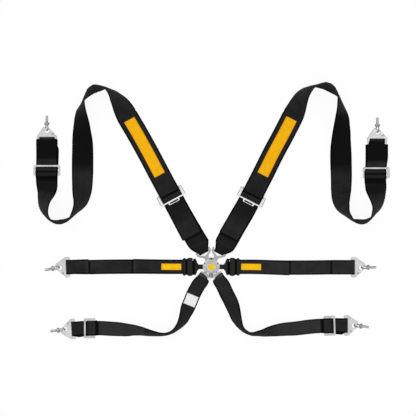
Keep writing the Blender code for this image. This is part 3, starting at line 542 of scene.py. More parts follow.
class Strap:
    # a strap's smooth centre line, with its frame and its length at each step
    def __init__(self, rows):
        rows = [(*row, 0.0)[:4] for row in rows]
        steps, self.marks = [], []
        for i, (here, there) in enumerate(zip(rows, rows[1:])):
            h = (there[0] - here[0]).length
            count = max(1, math.ceil(h / webbing["step"]))
            self.marks.append(len(steps))
            for k in range(count):
                t = k / count
                spot = here[0] * (2 * t**3 - 3 * t**2 + 1) + there[0] * (3 * t**2 - 2 * t**3)
                spot += slope(rows, i) * ((t**3 - 2 * t**2 + t) * h)
                spot += slope(rows, i + 1) * ((t**3 - t**2) * h)
                steps.append((spot, *(between(a, b, t) for a, b in zip(here[1:], there[1:]))))
        self.marks.append(len(steps))
        self.last = len(steps)
        self.spots, crosses, self.widths, self.bows = zip(*steps, rows[-1])
        self.crosses = [cross.normalized() for cross in crosses]
        self.reach, self.normals = [0.0], []
        for a, b in zip(self.spots, self.spots[1:]):
            self.reach.append(self.reach[-1] + (b - a).length)
        for i, cross in enumerate(self.crosses):
            ahead = self.spots[min(i + 1, self.last)] - self.spots[max(i - 1, 0)]
            self.normals.append(ahead.normalized().cross(cross).normalized())

    def cuts(self, *rows):
        return [0, *(self.marks[row] for row in rows), self.last]

    def near(self, x, y, first=0, last=None):
        # length along the strap at the plan point
        spot = Vector((x, y))
        best = (1e9, 0.0)
        for i in range(first, self.last if last is None else last):
            a, b = self.spots[i].to_2d(), self.spots[i + 1].to_2d()
            line = b - a
            if line.length < 1e-6:
                continue
            t = min(max((spot - a).dot(line) / line.length_squared, 0.0), 1.0)
            best = min(best, ((a + line * t - spot).length, between(self.reach[i], self.reach[i + 1], t)))
        return best[1]

    def at(self, along):
        # centre, cross direction and upward normal at a length
        i = max(k for k in range(self.last) if self.reach[k] <= along + 1e-9)
        t = (along - self.reach[i]) / (self.reach[i + 1] - self.reach[i])
        lines = (self.spots, self.crosses, self.normals)
        spot, cross, normal = (between(line[i], line[i + 1], t) for line in lines)
        return spot, cross.normalized(), upward(normal.normalized())


def upward(normal):
    return normal if normal.z > 0 else -normal


def ribbon(name, rows, edge, middle):
    # rows of centre, cross, normal, width, thickness, length along, gap to the nearest end, painted light and
    # bow
    points, weave, values = [], [], []
    inset = edge[-1][0]
    for spot, cross, normal, width, thick, along, endGap, tone, bow in rows:
        half = width / 2
        section = [(gap - half, share) for gap, share in edge]
        section += [(inset - half + (width - 2 * inset) * k / middle, 1.0) for k in range(1, middle)]
        section += [(half - gap, share) for gap, share in reversed(edge)]
        for up, order in ((1, section), (-1, section[::-1])):
            for offset, share in order:
                bulge = bow * (0.5 - (offset / half) ** 2)
                points.append(spot + cross * offset + normal * (up * share * thick / 2 + bulge))
                weave.append((offset * mm, along * mm))
                values.append(((half - abs(offset)) * mm, endGap * mm, tone))
    ring = len(points) // len(rows)
    faces = ringFaces(len(rows), ring)
    far = len(points) - ring
    for k in range(ring // 2 - 1):
        other = ring - 1 - k
        faces.append((k, other, other - 1, k + 1))
        faces.append((far + k, far + k + 1, far + other - 1, far + other))
    piece = fromPoints(name, points, faces)
    layer = piece.data.uv_layers.new(name="weave")
    layer.data.foreach_set("uv", [value for loop in piece.data.loops for value in weave[loop.vertex_index]])
    for key, column in zip(("sideGap", "endGap", "tone"), zip(*values)):
        paint(piece, key, column)
    return closeUp(piece, "none", 50)


def paintedLightAt(paintedLights, along):
    # rows of start, end, ease and value: how much painted shade darkens the webbing, or painted highlight
    # pales it where below nought
    best = 0.0
    for start, end, ease, value in paintedLights:
        share = 1 - max(start - along, along - end, 0.0) / ease
        if share * abs(value) > abs(best):
            best = share * value
    return best


def strapPiece(name, strap, first, last, node, follow, paintedLights, hems=()):
    # one length of a strap: it follows a body, or is left fixed where it lies between two, and a hem is
    # folded double
    total = strap.reach[-1]
    rows = []
    for i in range(first, last + 1):
        along, normal, bow = strap.reach[i], strap.normals[i], strap.bows[i]
        extra = webbing["hemThick"] * any(low <= along <= high for low, high in hems)
        # painted shade also on stretches that stand up on edge, the more the more they bow
        tone = max(paintedLightAt(paintedLights, along), webbing["shade"] * bow / webbing["bow"], key=abs)
        rows.append((
            strap.spots[i] + upward(normal) * (extra / 2), strap.crosses[i], normal, strap.widths[i],
            webbing["thick"] + extra, along, min(along, total - along), tone, bow,
        ))
    piece = dress(ribbon(name, rows, webbing["edge"], webbing["middle"]), "blackWebbing", [node])
    wide = sum(row[3] for row in rows) / len(rows)
    wide * mm
    if isinstance(follow, str):
        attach(piece, follow)
    else:
        body, other, at, start, end = follow
        plan(at, start)
        plan(at, end)
        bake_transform(piece)


def strapPieces(name, strap, cuts, node, follow, paintedLights):
    for word, first, last in zip(follow, cuts, cuts[1:]):
        strapPiece(f"{name}_strap_{word}", strap, first, last, node, follow[word], paintedLights)


stitch = {
    "pitch": 3.5, "length": 2.5, "radius": 0.32, "sides": 6,
    # along, swell and rise of each ring of one stitch
    "rings": [(-0.5, 0.35, -0.25), (-0.3, 1.0, 0.05), (0.0, 1.1, 0.12), (0.3, 1.0, 0.05), (0.5, 0.35, -0.25)],
}


def stitches(name, strap, paths, lift, finish, body):
    # sewn lines: paths of (length along, distance across) on the strap's upper face
    points, faces = [], []
    count, rings = stitch["sides"], stitch["rings"]
    for path in paths:
        for (a0, c0), (a1, c1) in zip(path, path[1:]):
            many = max(1, round(math.hypot(a1 - a0, c1 - c0) / stitch["pitch"]))
            for k in range(many):
                t = (k + 0.5) / many
                spot, cross, normal = strap.at(between(a0, a1, t))
                line = (cross.cross(normal) * (a1 - a0) + cross * (c1 - c0)).normalized()
                side = normal.cross(line)
                first = len(points)
                for step, swell, rise in rings:
                    centre = spot + cross * between(c0, c1, t) + normal * (lift + rise)
                    centre += line * (step * stitch["length"])
                    r = stitch["radius"] * swell
                    for n in range(count):
                        a = math.tau * n / count
                        points.append(centre + side * (r * math.cos(a)) + normal * (r * math.sin(a)))
                faces += ringFaces(len(rings), count, first)
                faces.append(tuple(reversed(range(first, first + count))))
                faces.append(tuple(range(len(points) - count, len(points))))
    piece = closeUp(fromPoints(name, points, faces), "metres", 40)
    dress(piece, finish, (), body)


def seamStitches(name, strap, places, half, body, hem=0.0):
    # rows of stitches across the strap
    paths = [[(a, -half), (a, half)] for a in places]
    stitches(name, strap, paths, webbing["thick"] / 2 + hem, "blackThread", body)


patchLook = {
    "thick": 0.8, "lift": 1.5, "edge": [(0, 0.35), (0.3, 0.75), (0.9, 1.0), (2.2, 0.85)], "middle": 6,
    "ease": [0, 0.4, 1.2, 2.2], "step": 4,
}


def sewOn(name, word, strap, start, stop, size, finish, thread):
    # a patch or label that follows the strap under it, with a line of stitches inside its border
    look, node, length = patchLook, f"{name}_{word}", stop - start
    wide, inset = size["sewnWide"], size["sewnInset"]
    lift, thick, ease = look["lift"], look["thick"], look["ease"]
    count = max(2, math.ceil(length / look["step"]))
    stops = ease + [between(ease[-1], length - ease[-1], k / count) for k in range(1, count)]
    stops += [length - gap for gap in reversed(ease)]
    rows = []
    for s in stops:
        spot, cross, normal = strap.at(start + s)
        rows.append((spot + normal * lift, cross, normal, wide, thick, s, min(s, length - s), 0, 0))
    piece = ribbon(f"{name}_sewn_{word}", rows, look["edge"], look["middle"])
    dress(piece, finish, [node], bodyOf[node])
    length * mm
    a, b, c = start + inset, stop - inset, wide / 2 - inset
    border = [(a, -c), (b, -c), (b, c), (a, c), (a, -c)]
    stitches(f"{name}_{word}_stitching", strap, [border], lift + thick / 2, thread, bodyOf[node])


tongueHeading = {
    "shoulder_left": 117.5, "shoulder_right": 62.5, "lap_left": 180.0, "lap_right": 0.0,
    "leg_left": 230.0, "leg_right": 309.0,
}
adjusterAt = {"left": (-150.3, 266.1, 298.4), "right": (150.1, 262.6, 242.8)}
sliderAt = {
    "shoulder_left": (-586.5, 344.1, 90.0), "shoulder_right": (588.7, 336.0, 90.0),
    "leg_left": (-433.9, -219.0, 180.0), "leg_right": (422.9, -209.8, 2.0),
}
bracketAt = {
    "shoulder_left": (-586.0, 458.0, 90.0), "shoulder_right": (592.6, 452.3, 90.0),
    "lap_left": (-513.0, -1.2, 182.0), "lap_right": (507.3, -1.6, 0.0),
    "leg_left": (-493.4, -221.5, 184.0), "leg_right": (482.0, -209.0, 0.0),
}
barOut = {"shoulder": 59.0, "lap": 69.0, "leg": 43.0}
plate = {"thick": 3.0, "edge": 1.2, "bar": 6.4, "sliderBar": 7.0}
# the webbing dips beyond the slider's middle bar
dip = plate["sliderBar"] / 2 + 1


def onLine(base, s):
    a = math.radians(base[2])
    return base[0] + s * math.cos(a), base[1] + s * math.sin(a)


def plan(base, s):
    # a point at a distance along a heading, in metres
    x, y = onLine(base, s)
    return (x * mm, y * mm, 0)


# shoulder straps: the free runs are x, y and roll, positive where the left edge stands up
shoulder = {
    "route": {
        "left": [
            (-225, 406, 0), (-268, 483, 0), (-295, 529, 0), (-314, 564, 24), (-328, 589, 42),
            (-338, 603, 54), (-352, 622, 69), (-364, 631, 79), (-376, 637, 89), (-394, 639, 103),
            (-414, 637, 111), (-434, 625, 107), (-444, 612, 98), (-451, 600, 90), (-456, 588, 83),
            (-460, 576, 74), (-464, 556, 60), (-464, 534, 50), (-462, 510, 40), (-461, 485, 31),
            (-459, 446, 15), (-459, 363, -2), (-459, 317, -15), (-460, 274, -26), (-462, 248, -40),
            (-465, 229, -52), (-472, 212, -65), (-481, 198, -75), (-490, 186, -82), (-500, 176, -91),
            (-518, 163, -99), (-536, 158, -102), (-550, 158, -99), (-567, 164, -90), (-582, 176, -82),
            (-592, 192, -71), (-596, 207, -63), (-597, 223, -56), (-595, 239, -49), (-589, 258, -35),
            (-586, 283, -12),
        ],
        "right": [
            (222, 405, 0), (259, 474, 0), (287, 529, 0), (302, 561, -24), (313, 588, -40),
            (323, 608, -50), (335, 624, -61), (348, 635, -71), (360, 642, -80), (370, 644, -89),
            (387, 647, -100), (405, 647, -108), (421, 641, -110), (435, 631, -106), (444, 621, -98),
            (450, 612, -90), (455, 602, -83), (460, 586, -74), (464, 564, -64), (466, 548, -55),
            (467, 529, -46), (466, 508, -40), (465, 485, -32), (463, 453, -23), (463, 381, 4),
            (464, 317, 15), (463, 274, 23), (462, 239, 37), (464, 224, 46), (469, 209, 55),
            (475, 196, 67), (483, 185, 76), (492, 176, 82), (502, 168, 89), (517, 161, 100),
            (533, 158, 103), (548, 160, 100), (565, 171, 91), (575, 182, 82), (583, 195, 73),
            (589, 208, 64), (592, 223, 54), (592, 240, 43), (590, 258, 30), (588, 276, 12),
        ],
    },
    "patch": {"left": ((-182, 328), (-291, 526)), "right": ((180, 330), (288, 528))},
    "sewnWide": 41.0, "sewnInset": 3.2, "tail": 176, "slideX": 12.0, "frontX": 30.0, "sliderLength": 39.0,
    "cut": 75.0,
    # the mouth at the tongue: distance from the bar, and the reach to its inner and outer side
    "mouth": {
        "left": [
            (3, 19.9, 19.5), (14, 26.8, 27.5), (26, 33.7, 34.8), (31, 36.2, 36.8), (38, 35.8, 38.8),
            (48, 35.2, 40.2), (58, 34.4, 41.0), (68, 33.6, 41.6), (90, 33.0, 44.0),
        ],
        "right": [
            (3, 17.4, 22.0), (14, 21.2, 34.5), (26, 26.5, 42.3), (31, 29.4, 44.0), (38, 31.0, 45.0),
            (48, 31.0, 45.8), (58, 30.8, 46.2), (68, 30.4, 46.6), (90, 30.0, 47.0),
        ],
    },
    "mouthLift": [12.5, 10.9, 7.2, 5.6, 3.5, 1.9, 0.5, 0.0, 0.0], "seams": (30, 34, 38), "seamHalf": 27,
    # how the strap lies at the tail, in the slider, at the bracket and under it
    "skew": {"left": 1.8, "right": 6.5}, "slew": {"left": 0.5, "right": 3.0},
    "square": {"left": -3.0, "right": -15.0}, "spill": {"left": -4.5, "right": 4.5},
    "tuck": {"left": 0.0, "right": 6.0}, "upright": {"x": 460, "from": 530, "to": 370},
}


def lowerShoulder(side):
    # from the tongue to the adjuster, folded over a bar at both ends
    name = f"shoulder_{side}"
    wide, low, second = webbing["shoulder"], height["floor"], height["second"]
    tip, base, bar = (0, 0, tongueHeading[name]), adjusterAt[side], barOut["shoulder"]
    narrow = webbing["tongue"]
    rows = lane(tip, narrow, [(bar + 42, low, 60), (bar + 26, low, 50), (bar + 10, 3.0)])
    rows += bend(tip, bar, height["tongue"], height["loop"], 270, 90, narrow)
    mouthRow = len(rows)
    outwards = 1 if side == "left" else -1
    rows += lane(tip, wide, [
        (bar + s, low + lift, inner + outer, (outer - inner) / 2 * outwards)
        for (s, inner, outer), lift in zip(shoulder["mouth"][side], shoulder["mouthLift"])
    ])
    rows += lane(base, wide, [(70, low), (30, low), (10, low)], -1)
    rearRow = len(rows)
    rows += bend(base, 0, height["rear"], height["rearLoop"], 270, 90, wide, -1)
    rows += lane(base, wide, [
        (4, crest - 0.3), (12, crest - 2.4), (24, crest - 5.4), (34, second), (48, second),
    ], -1)
    strap = Strap(rows)
    total = strap.reach[-1]
    # a shadow line under the end of the tail
    tail = strap.near(*onLine(base, shoulder["tail"] + 2), strap.marks[mouthRow], strap.marks[rearRow - 1])
    # painted shade over the whole strap, and stronger along the line under the tail's end
    paintedLights = [(0, total, 1, 0.46), (tail - 4.5, tail + 1, 4, 1.0)]
    strapPiece(
        f"{name}_lower_strap", strap, 0, strap.last, f"{name}_lower_webbing", name, paintedLights
    )
    fold = strap.reach[strap.marks[mouthRow - 1]]
    seams = [fold + s for s in shoulder["seams"]]
    seamStitches(f"{name}_tongue_stitching", strap, seams, shoulder["seamHalf"], name)
    print(name, "lower strap", round(total), "mm")


def shoulderTail(side):
    # the free tail, under the adjuster's front bar and up over its slide bar
    name = f"shoulder_{side}"
    adjuster, front, slide = f"{name}_adjuster", shoulder["frontX"], shoulder["slideX"]
    base, wide, skew = adjusterAt[side], webbing["shoulder"], shoulder["skew"][side]
    flat, web = height["second"] + 0.2, height["slideWeb"]
    beneath = height["front"] - 0.3 - webbing["thick"] / 2
    strap = Strap(lane(base, wide, [
        (shoulder["tail"], flat, wide, skew), (120, flat, wide, skew * 0.6),
        (80, flat + 1.4, wide, skew * 0.3), (58, 6.4, wide, skew * 0.1), (44, beneath - 1.6),
        (front + 4, beneath), (front - 4, beneath),
        (slide + 5.5, web - 0.9), (slide + 3, web), (slide - 1.5, web), (slide - 3.6, web - 1.1),
        (slide - 4.2, web - 3.2), (slide - 4.3, web - 5.0),
    ], -1))
    frontRow = 6
    tip, below = strap.reach[-1], strap.near(*onLine(base, front + 6))
    # each length: what it follows, and its painted light: painted shade under the front bar and where it
    # dives behind the slide bar, with a thin painted highlight just before that
    lengths = {
        "tail": (
            (name, adjuster, base, 110, 40),
            [(below - 58, below - 2, 48, 0.52), (below, below + 8, 5, 0.75)],
        ),
        "crest": (
            (adjuster, f"{name}_slide_bar", base, front - 4, slide + 6),
            [(0, below + 6, 4, 0.75), (tip - 13, tip - 11, 2, -0.12), (tip - 7, tip, 1.5, 1.0)],
        ),
    }
    cuts = strap.cuts(frontRow)
    for (word, (follow, paintedLights)), first, last in zip(lengths.items(), cuts, cuts[1:]):
        strapPiece(
            f"{name}_strap_{word}", strap, first, last, f"{name}_upper_webbing", follow,
            paintedLights, [(0, webbing["hem"])],
        )
    return strap


def upperShoulder(side):
    # from the slide bar by way of both loops through the slider, round the bracket's bar and back beneath
    name = f"shoulder_{side}"
    tail = shoulderTail(side)
    adjuster, slider, roller = (f"{name}_{word}" for word in ("adjuster", "slider", "slide_bar"))
    wide, gather, low = webbing["shoulder"], webbing["gather"], height["floor"]
    base, at, anchor = adjusterAt[side], sliderAt[name], bracketAt[name]
    slew, square, spill, tuck = (shoulder[key][side] for key in ("slew", "square", "spill", "tuck"))
    slide, web, over, under = shoulder["slideX"], height["slideWeb"], height["over"], height["under"]
    end = shoulder["sliderLength"] / 2
    rows = lane(base, wide, [
        (slide - 6.5, web - 5.0), (slide - 6.6, web - 3.2), (slide - 7.6, web - 1.3),
        (slide - 9.6, web - 0.7), (-8, crest + 2.2), (-24, 7.4), (-46, 2.6), (-70, low),
    ], -1)
    lipRow, freeRow = 4, 7
    rows += run(shoulder["route"][side], wide)
    enterRow = len(rows)
    rows += lane(at, wide, [
        (-end - 24, low + 0.4, wide, slew * 0.5), (-end - 9, 2.6, wide + 1, slew),
        (-end - 0.5, over, wide + 2, slew), (-8, over, wide + 2, slew), (dip, over, wide + 2, slew),
        (end - 8, under, wide + 1, slew * 0.7), (end - 2, under, wide, slew * 0.4), (end + 6, under + 0.2),
    ])
    rows += lane(anchor, wide, [
        (-60, 4.2), (-36, 6.6), (-24, 8.6), (square - 2, barTop - 0.2 + square * 0.08),
        (square, barTop - 0.1 + square * 0.08, wide - 1),
        (square + 1, barTop - 0.1 + square * 0.06, gather + 1),
    ])
    returned = [(-5, low, gather), (-13, low, 64), (-36, low, wide - 2, spill)]
    if side == "right":
        # this one is gathered further back
        rows += lane(anchor, gather + 1, [(-5, barTop - 0.2)])
        returned = [
            (-5, low, gather, spill * 0.6), (square - 0.5, low, gather + 1, spill),
            (square - 1.5, low, wide - 2, spill),
        ]
    rows += bend(anchor, 0, height["bar"], height["loop"], 90, -90, gather)
    underRow = len(rows)
    back = math.hypot(anchor[0] - at[0], anchor[1] - at[1])
    returned += [(-60, low, wide - 2, spill), (-back - end - 8, low, wide - 2, tuck)]
    strap = Strap(rows + lane(anchor, wide, returned))
    cuts = strap.cuts(lipRow, freeRow, enterRow, enterRow + 4, underRow)
    inward, outward = (strap.near(*onLine(at, s), cuts[3], cuts[5]) for s in (-end, end - 8))
    bar = strap.near(*onLine(anchor, 0), cuts[4], cuts[5])
    steep = shoulder["upright"]
    x = math.copysign(steep["x"], anchor[0])
    upright = [strap.near(x, steep[key], cuts[2], cuts[3]) for key in ("from", "to")]
    # painted light: painted shade at the lip, lightly over the run, on its upright stretch, on the ramp into
    # the slider, in bands on and after it and before and at the bracket's bar, and one thin painted highlight
    # on the slider
    paintedLights = [
        (0, 3.5, 1.5, 1.0), (0, outward, 1, 0.22), (*upright, 60, 0.82), (inward - 18, inward - 3, 9, 0.95),
        (inward - 60, inward - 18, 20, 0.6), (inward + 12, inward + 18, 4, 0.85),
        (inward + 22, inward + 25, 3, -0.25), (outward - 1, outward + 2, 4, 0.95),
        (outward + 34, bar - 12, 14, 0.84), (bar - 9, bar - 6, 5, 0.95),
    ]
    follow = {
        "lip": (adjuster, roller, base, -8, slide - 9), "rise": (name, adjuster, base, -26, -8), "run": name,
        "feed": (name, slider, at, -43, -20), "end": (name, slider, at, 70, 20), "return": name,
    }
    strapPieces(name, strap, cuts, f"{name}_upper_webbing", follow, paintedLights)
    half = wide / 2 - webbing["seamInset"]
    seamStitches(f"{name}_tail_stitching", tail, webbing["seams"], half, name, webbing["hemThick"])
    start, stop = sorted(strap.near(*spot, cuts[2], cuts[3]) for spot in shoulder["patch"][side])
    sewOn(name, "patch", strap, start, stop, shoulder, "amberPatch", "amberThread")
    print(name, "upper strap", round(strap.reach[-1]), "mm")


lap = {
    "tail": 279.0, "patch": (37.2, 108.8), "sewnWide": 22.4, "sewnInset": 2.6,
    "skew": {"left": -2.4, "right": -4.8}, "sag": {"left": -1.3, "right": -1.9},
    "tone": {"left": -0.05, "right": -0.17},
}


def makeLap(side):
    # from its tail over the tongue's bar and back beneath, then round the bracket's bar
    name = f"lap_{side}"
    node = f"{name}_webbing"
    wide, low, second = webbing["belt"], height["floor"], height["second"]
    tip, anchor, bar = (0, 0, tongueHeading[name]), bracketAt[name], barOut["lap"]
    far = math.hypot(*anchor[:2])
    skew, sag = lap["skew"][side], lap["sag"][side]
    rows = lane(tip, wide, [
        (lap["tail"], second, wide, skew), (bar + 111, second, wide, skew * 0.2), (bar + 61, second),
        (bar + 49, second + 0.6), (bar + 31, 7.4), (bar + 17, tongueTop - 2.6),
        (bar + 7, tongueTop - 0.4),
    ])
    rows += bend(tip, bar, height["tongue"], height["loop"], 90, 270, wide)
    underRow = len(rows)
    rows += lane(tip, wide, [
        (bar + 7, height["tongue"] - height["loop"] - 0.1), (bar + 29, 3.2), (bar + 41, 1.4), (bar + 53, low),
        (bar + 81, low),
    ])
    straight = (*anchor[:2], math.degrees(math.atan2(anchor[1], anchor[0])))
    rows += lane(straight, wide, [(-far / 2, low, wide, sag), (-150, low, wide, sag * 0.8), (-60, low)])
    rows += lane(anchor, wide, [(-20, low), (-5, low)])
    loopRow = len(rows)
    rows += bend(anchor, 0, height["bar"], height["loop"], -90, 90, wide)
    rows += lane(anchor, wide, [
        (-5, barTop - 0.2), (-14, barTop - 2.4), (-26, 4.4), (-36, second), (-76, second),
    ])
    strap = Strap(rows)
    total = strap.reach[-1]
    hems = [(0, webbing["hem"]), (total - webbing["hem"], total)]
    # painted light: a slight painted highlight over the whole strap, a little more near both hemmed ends, and
    # a painted shadow line under the end of each upper layer
    paintedLights = [(0, total, 1, lap["tone"][side]), (2, 10, 3, -0.2), (total - 10, total - 2, 3, -0.2)]
    for spot in (onLine(tip, lap["tail"] + 2), onLine(anchor, -78)):
        end = strap.near(*spot, strap.marks[underRow], strap.marks[loopRow - 1])
        paintedLights.append((end - 1.5, end + 1.5, 4, 0.8))
    body = bodyOf[node]
    strapPiece(f"{name}_strap", strap, 0, strap.last, node, body, paintedLights, hems)
    start, stop = (lap["tail"] - bar - edge for edge in reversed(lap["patch"]))
    sewOn(name, "patch", strap, start, stop, lap, "yellowPatch", "amberThread")
    seams = [*webbing["seams"], *(total - s for s in webbing["seams"])]
    half = wide / 2 - webbing["seamInset"]
    seamStitches(f"{name}_seam_stitching", strap, seams, half, body, webbing["hemThick"])
    print(name, "strap", round(total), "mm")


leg = {
    "route": {
        "left": [
            (-60, -91, 0), (-76, -129, 0), (-80, -138.5, 0), (-91.5, -168, -34), (-100, -191, -47),
            (-109, -206, -59), (-119, -218, -67), (-132, -229, -76), (-149, -237, -82), (-166, -241, -81),
            (-182, -242, -75), (-201, -240, -67), (-223, -236, -59), (-248, -230, -50), (-274, -226, -39),
            (-299, -225, -26), (-329, -222.5, -12), (-360, -221, -2),
        ],
        "right": [
            (53, -91, 0), (71, -127, 8), (83, -160, 31), (89, -182, 42), (95, -198, 54),
            (102, -213, 65), (110, -223, 72), (122, -232, 77), (135, -238, 80), (150, -241, 74),
            (166, -239, 66), (182, -237, 58), (206, -231, 44), (228, -227, 33), (257, -223, 22),
            (300, -220, 12), (350, -214, 2),
        ],
    },
    "label": ((-64, -101), (-79, -137.5)), "sewnWide": 43.0, "sewnInset": 2.8, "sliderLength": 41.0,
    "cut": 50.0,
    "lean": {"left": 4.0, "right": -4.0}, "spill": {"left": 5.0, "right": -6.5}, "flare": (29, 33, 36),
    "flat": (245, -230), "seams": (27, 31, 35), "seamHalf": 18,
}


def makeLeg(side):
    # from the tongue by way of one loop through the slider, round the bracket's bar and back beneath
    name = f"leg_{side}"
    node, slider = f"{name}_webbing", f"{name}_slider"
    wide, low = webbing["belt"], height["floor"]
    tip, at, anchor, bar = (0, 0, tongueHeading[name]), sliderAt[name], bracketAt[name], barOut["leg"]
    lean, spill, route = (leg[key][side] for key in ("lean", "spill", "route"))
    x, y = onLine(tip, bar)
    fold = (x, y, math.degrees(math.atan2(route[0][1] - y, route[0][0] - x)))
    rows = lane(fold, wide, [(52, low, 46), (26, low + 0.4, 38), (11, 3.0, 26)])
    rows += bend(tip, bar, height["tongue"], height["loop"], 270, 90, webbing["legEnd"], 1, leg["flare"])
    foldRow = len(rows) - 1
    rows += lane(fold, wide, [
        (3, tongueTop - 0.2, 40, lean * 0.5), (8, tongueTop - 1.2, 46, lean),
        (16, tongueTop - 3.2, 50, lean * 0.8), (26, 6.6, wide, lean * 0.4), (36, 4.8), (50, 3.4),
    ])
    freeRow = len(rows)
    rows += run(route, wide)
    end, over, under = leg["sliderLength"] / 2, height["over"], height["under"]
    enterRow = len(rows)
    rows += lane(at, wide, [
        (-end - 20, low + 0.4), (-end - 8, 2.6), (-end - 0.5, over, wide + 1.5), (-8, over, wide + 1.5),
        (dip, over, wide + 1.5), (end - 8, under), (end - 2, under), (end + 4, under + 0.3),
    ])
    rows += lane(anchor, wide, [(-24, 6.2), (-13, barTop - 1.2), (-5, barTop)])
    rows += bend(anchor, 0, height["bar"], height["loop"], 90, -90, wide)
    underRow = len(rows)
    back = math.hypot(anchor[0] - at[0], anchor[1] - at[1])
    rows += lane(anchor, wide - 2, [
        (-5, low, wide, spill * 0.2), (-11, low, wide - 2, spill * 0.9), (end - back, low, wide - 2, spill),
        (-back - end - 8, low),
    ])
    strap = Strap(rows)
    cuts = strap.cuts(enterRow, enterRow + 4, underRow)
    knot = strap.reach[strap.marks[foldRow]]
    inward, outward = (strap.near(*onLine(at, s), cuts[1], cuts[3]) for s in (-end, end - 8))
    flat = strap.near(math.copysign(leg["flat"][0], anchor[0]), leg["flat"][1], cuts[0], cuts[1])
    # painted light: a painted highlight along the fold at the tongue and over the flat run, and painted shade
    # on the ramps into and out of the slider
    paintedLights = [
        (knot + 1.5, knot + 2.5, 3, -0.8), (inward - 10, inward - 1, 4, 1.0),
        (outward - 1, outward + 2, 5, 0.9), (flat, inward - 14, 40, -0.27),
    ]
    follow = {
        "run": name, "feed": (name, slider, at, -40, -20), "end": (name, slider, at, 54, 20), "return": name,
    }
    strapPieces(name, strap, cuts, node, follow, paintedLights)
    seams = [knot + s for s in leg["seams"]]
    seamStitches(f"{name}_tongue_stitching", strap, seams, leg["seamHalf"], name)
    if side == "left":
        start, stop = sorted(strap.near(*spot, strap.marks[freeRow] - 8, cuts[1]) for spot in leg["label"])
        sewOn(name, "label", strap, start, stop, leg, "whiteLabel", "whiteThread")
    print(name, "strap", round(strap.reach[-1]), "mm")


# plates: flat outlines with rounded corners, stamped to a thickness with eased edges
def rounded(corners, steps=7):
    out = []
    for i, (x, y, r) in enumerate(corners):
        here = Vector((x, y))
        if r == 0:
            out.append(here)
            continue
        back = (Vector(corners[i - 1][:2]) - here).normalized()
        on = (Vector(corners[(i + 1) % len(corners)][:2]) - here).normalized()
        half = back.angle(on) / 2
        centre = here + (back + on).normalized() * (r / math.sin(half))
        first, last = (here + way * (r / math.tan(half)) - centre for way in (back, on))
        out += [centre + first.lerp(last, k / steps).normalized() * r for k in range(steps + 1)]
    return out


def mirrored(half):
    return half + [(x, -y, r) for x, y, r in reversed(half)]


def box(x0, y0, x1, y1, r):
    return rounded([(x0, y0, r), (x1, y0, r), (x1, y1, r), (x0, y1, r)])


def arc(x, y, radius, start, end, count=24):
    turns = [math.radians(between(start, end, k / count)) for k in range(count + 1)]
    return [Vector((x + radius * math.cos(a), y + radius * math.sin(a))) for a in turns]


def circle(x, y, radius):
    return arc(x, y, radius, 0, 360)[:-1]


def stamped(name, outlines, low, high, edge):
    curve = bpy.data.curves.new(name, "CURVE")
    curve.dimensions = "2D"
    curve.fill_mode = "BOTH"
    for outline in outlines:
        line = curve.splines.new("POLY")
        line.points.add(len(outline) - 1)
        for spot, (x, y) in zip(line.points, outline):
            spot.co = (x, y, 0, 1)
        line.use_cyclic_u = True
    curve.extrude = (high - low) / 2 - edge
    curve.bevel_depth = edge
    curve.bevel_resolution = 3
    curve.offset = -edge
    pick(added(name, curve))
    bpy.ops.object.convert(target="MESH")
    piece = bpy.context.object
    piece.data.transform(shift(0, 0, (low + high) / 2))
    flatFaced(closeUp(piece, "stamped", 40))
    # marks the sides between the two flat faces, for the painted shade there
    paint(piece, "sheared", [float(low + 0.02 < spot.co.z < high - 0.02) for spot in piece.data.vertices])
    return piece


def turned(name, profile, segments, where=Matrix()):
    # profile of (height, radius), drawn up one extrude at a time
    deselect()
    rise, radius = profile[0]
    bpy.ops.mesh.primitive_circle_add(vertices=segments, radius=radius, fill_type="NGON", location=(0, 0, 0))
    piece = bpy.context.object
    piece.name = name
    piece.data.transform(shift(0, 0, rise))
    pick(piece, edit=True)
    for nextRise, nextRadius in profile[1:]:
        bpy.ops.mesh.extrude_region_move(TRANSFORM_OT_translate={"value": (0, 0, nextRise - rise)})
        share = nextRadius / radius
        bpy.ops.transform.resize(value=(share, share, 1), center_override=(0, 0, nextRise))
        rise, radius = nextRise, nextRadius
    bpy.ops.object.mode_set(mode="OBJECT")
    closeUp(piece, "bench", 35)
    piece.data.transform(where)
    return piece


def joined(name, pieces):
    pick(pieces[0])
    for piece in pieces[1:]:
        piece.select_set(True)
    bpy.ops.object.join()
    pieces[0].name = name
    return pieces[0]


def softened(name, node, width):
    # a merged copy of a part with eased edges
    piece = added(name, frame["nodes"][node].data.copy())
    pick(piece, edit=True)
    bpy.ops.mesh.remove_doubles(threshold=weld["cad"])
    bpy.ops.mesh.dissolve_limited(angle_limit=math.radians(1.5))
    bpy.ops.object.mode_set(mode="OBJECT")
    applied(piece, "BEVEL", width=width * mm, segments=3, limit_method="ANGLE", angle_limit=math.radians(30))
    return flatFaced(closeUp(piece, "metres", 35))


sliderLook = {"side": 8.0, "room": 2.4, "hole": 1.6, "corner": 4, "edge": 1.4}


def makeSliders():
    look, bar = sliderLook, plate["sliderBar"]
    for kind, strap in (("shoulder", shoulder), ("leg", leg)):
        length, reach = strap["sliderLength"], strap["cut"] / 2 + look["room"]
        start, half, slot = length / 2, reach + look["side"], (length - 3 * bar) / 2
        outlines = [box(-start, -half, start, half, look["corner"])]
        for a in (bar - start, bar - start + slot + bar):
            outlines.append(box(a, -reach, a + slot, reach, look["hole"]))
        model = stamped("slider", outlines, 0, plate["thick"], look["edge"])
        for side in sides:
            name = f"{kind}_{side}"
            x, y, heading = sliderAt[name]
            at = place(x, y, height["slider"], heading)
            fit(model, f"{name}_three_bar", at, "sliderPlate", f"{name}_slider")
        clearBench(model)
    print("sliders:", len(sliderAt))


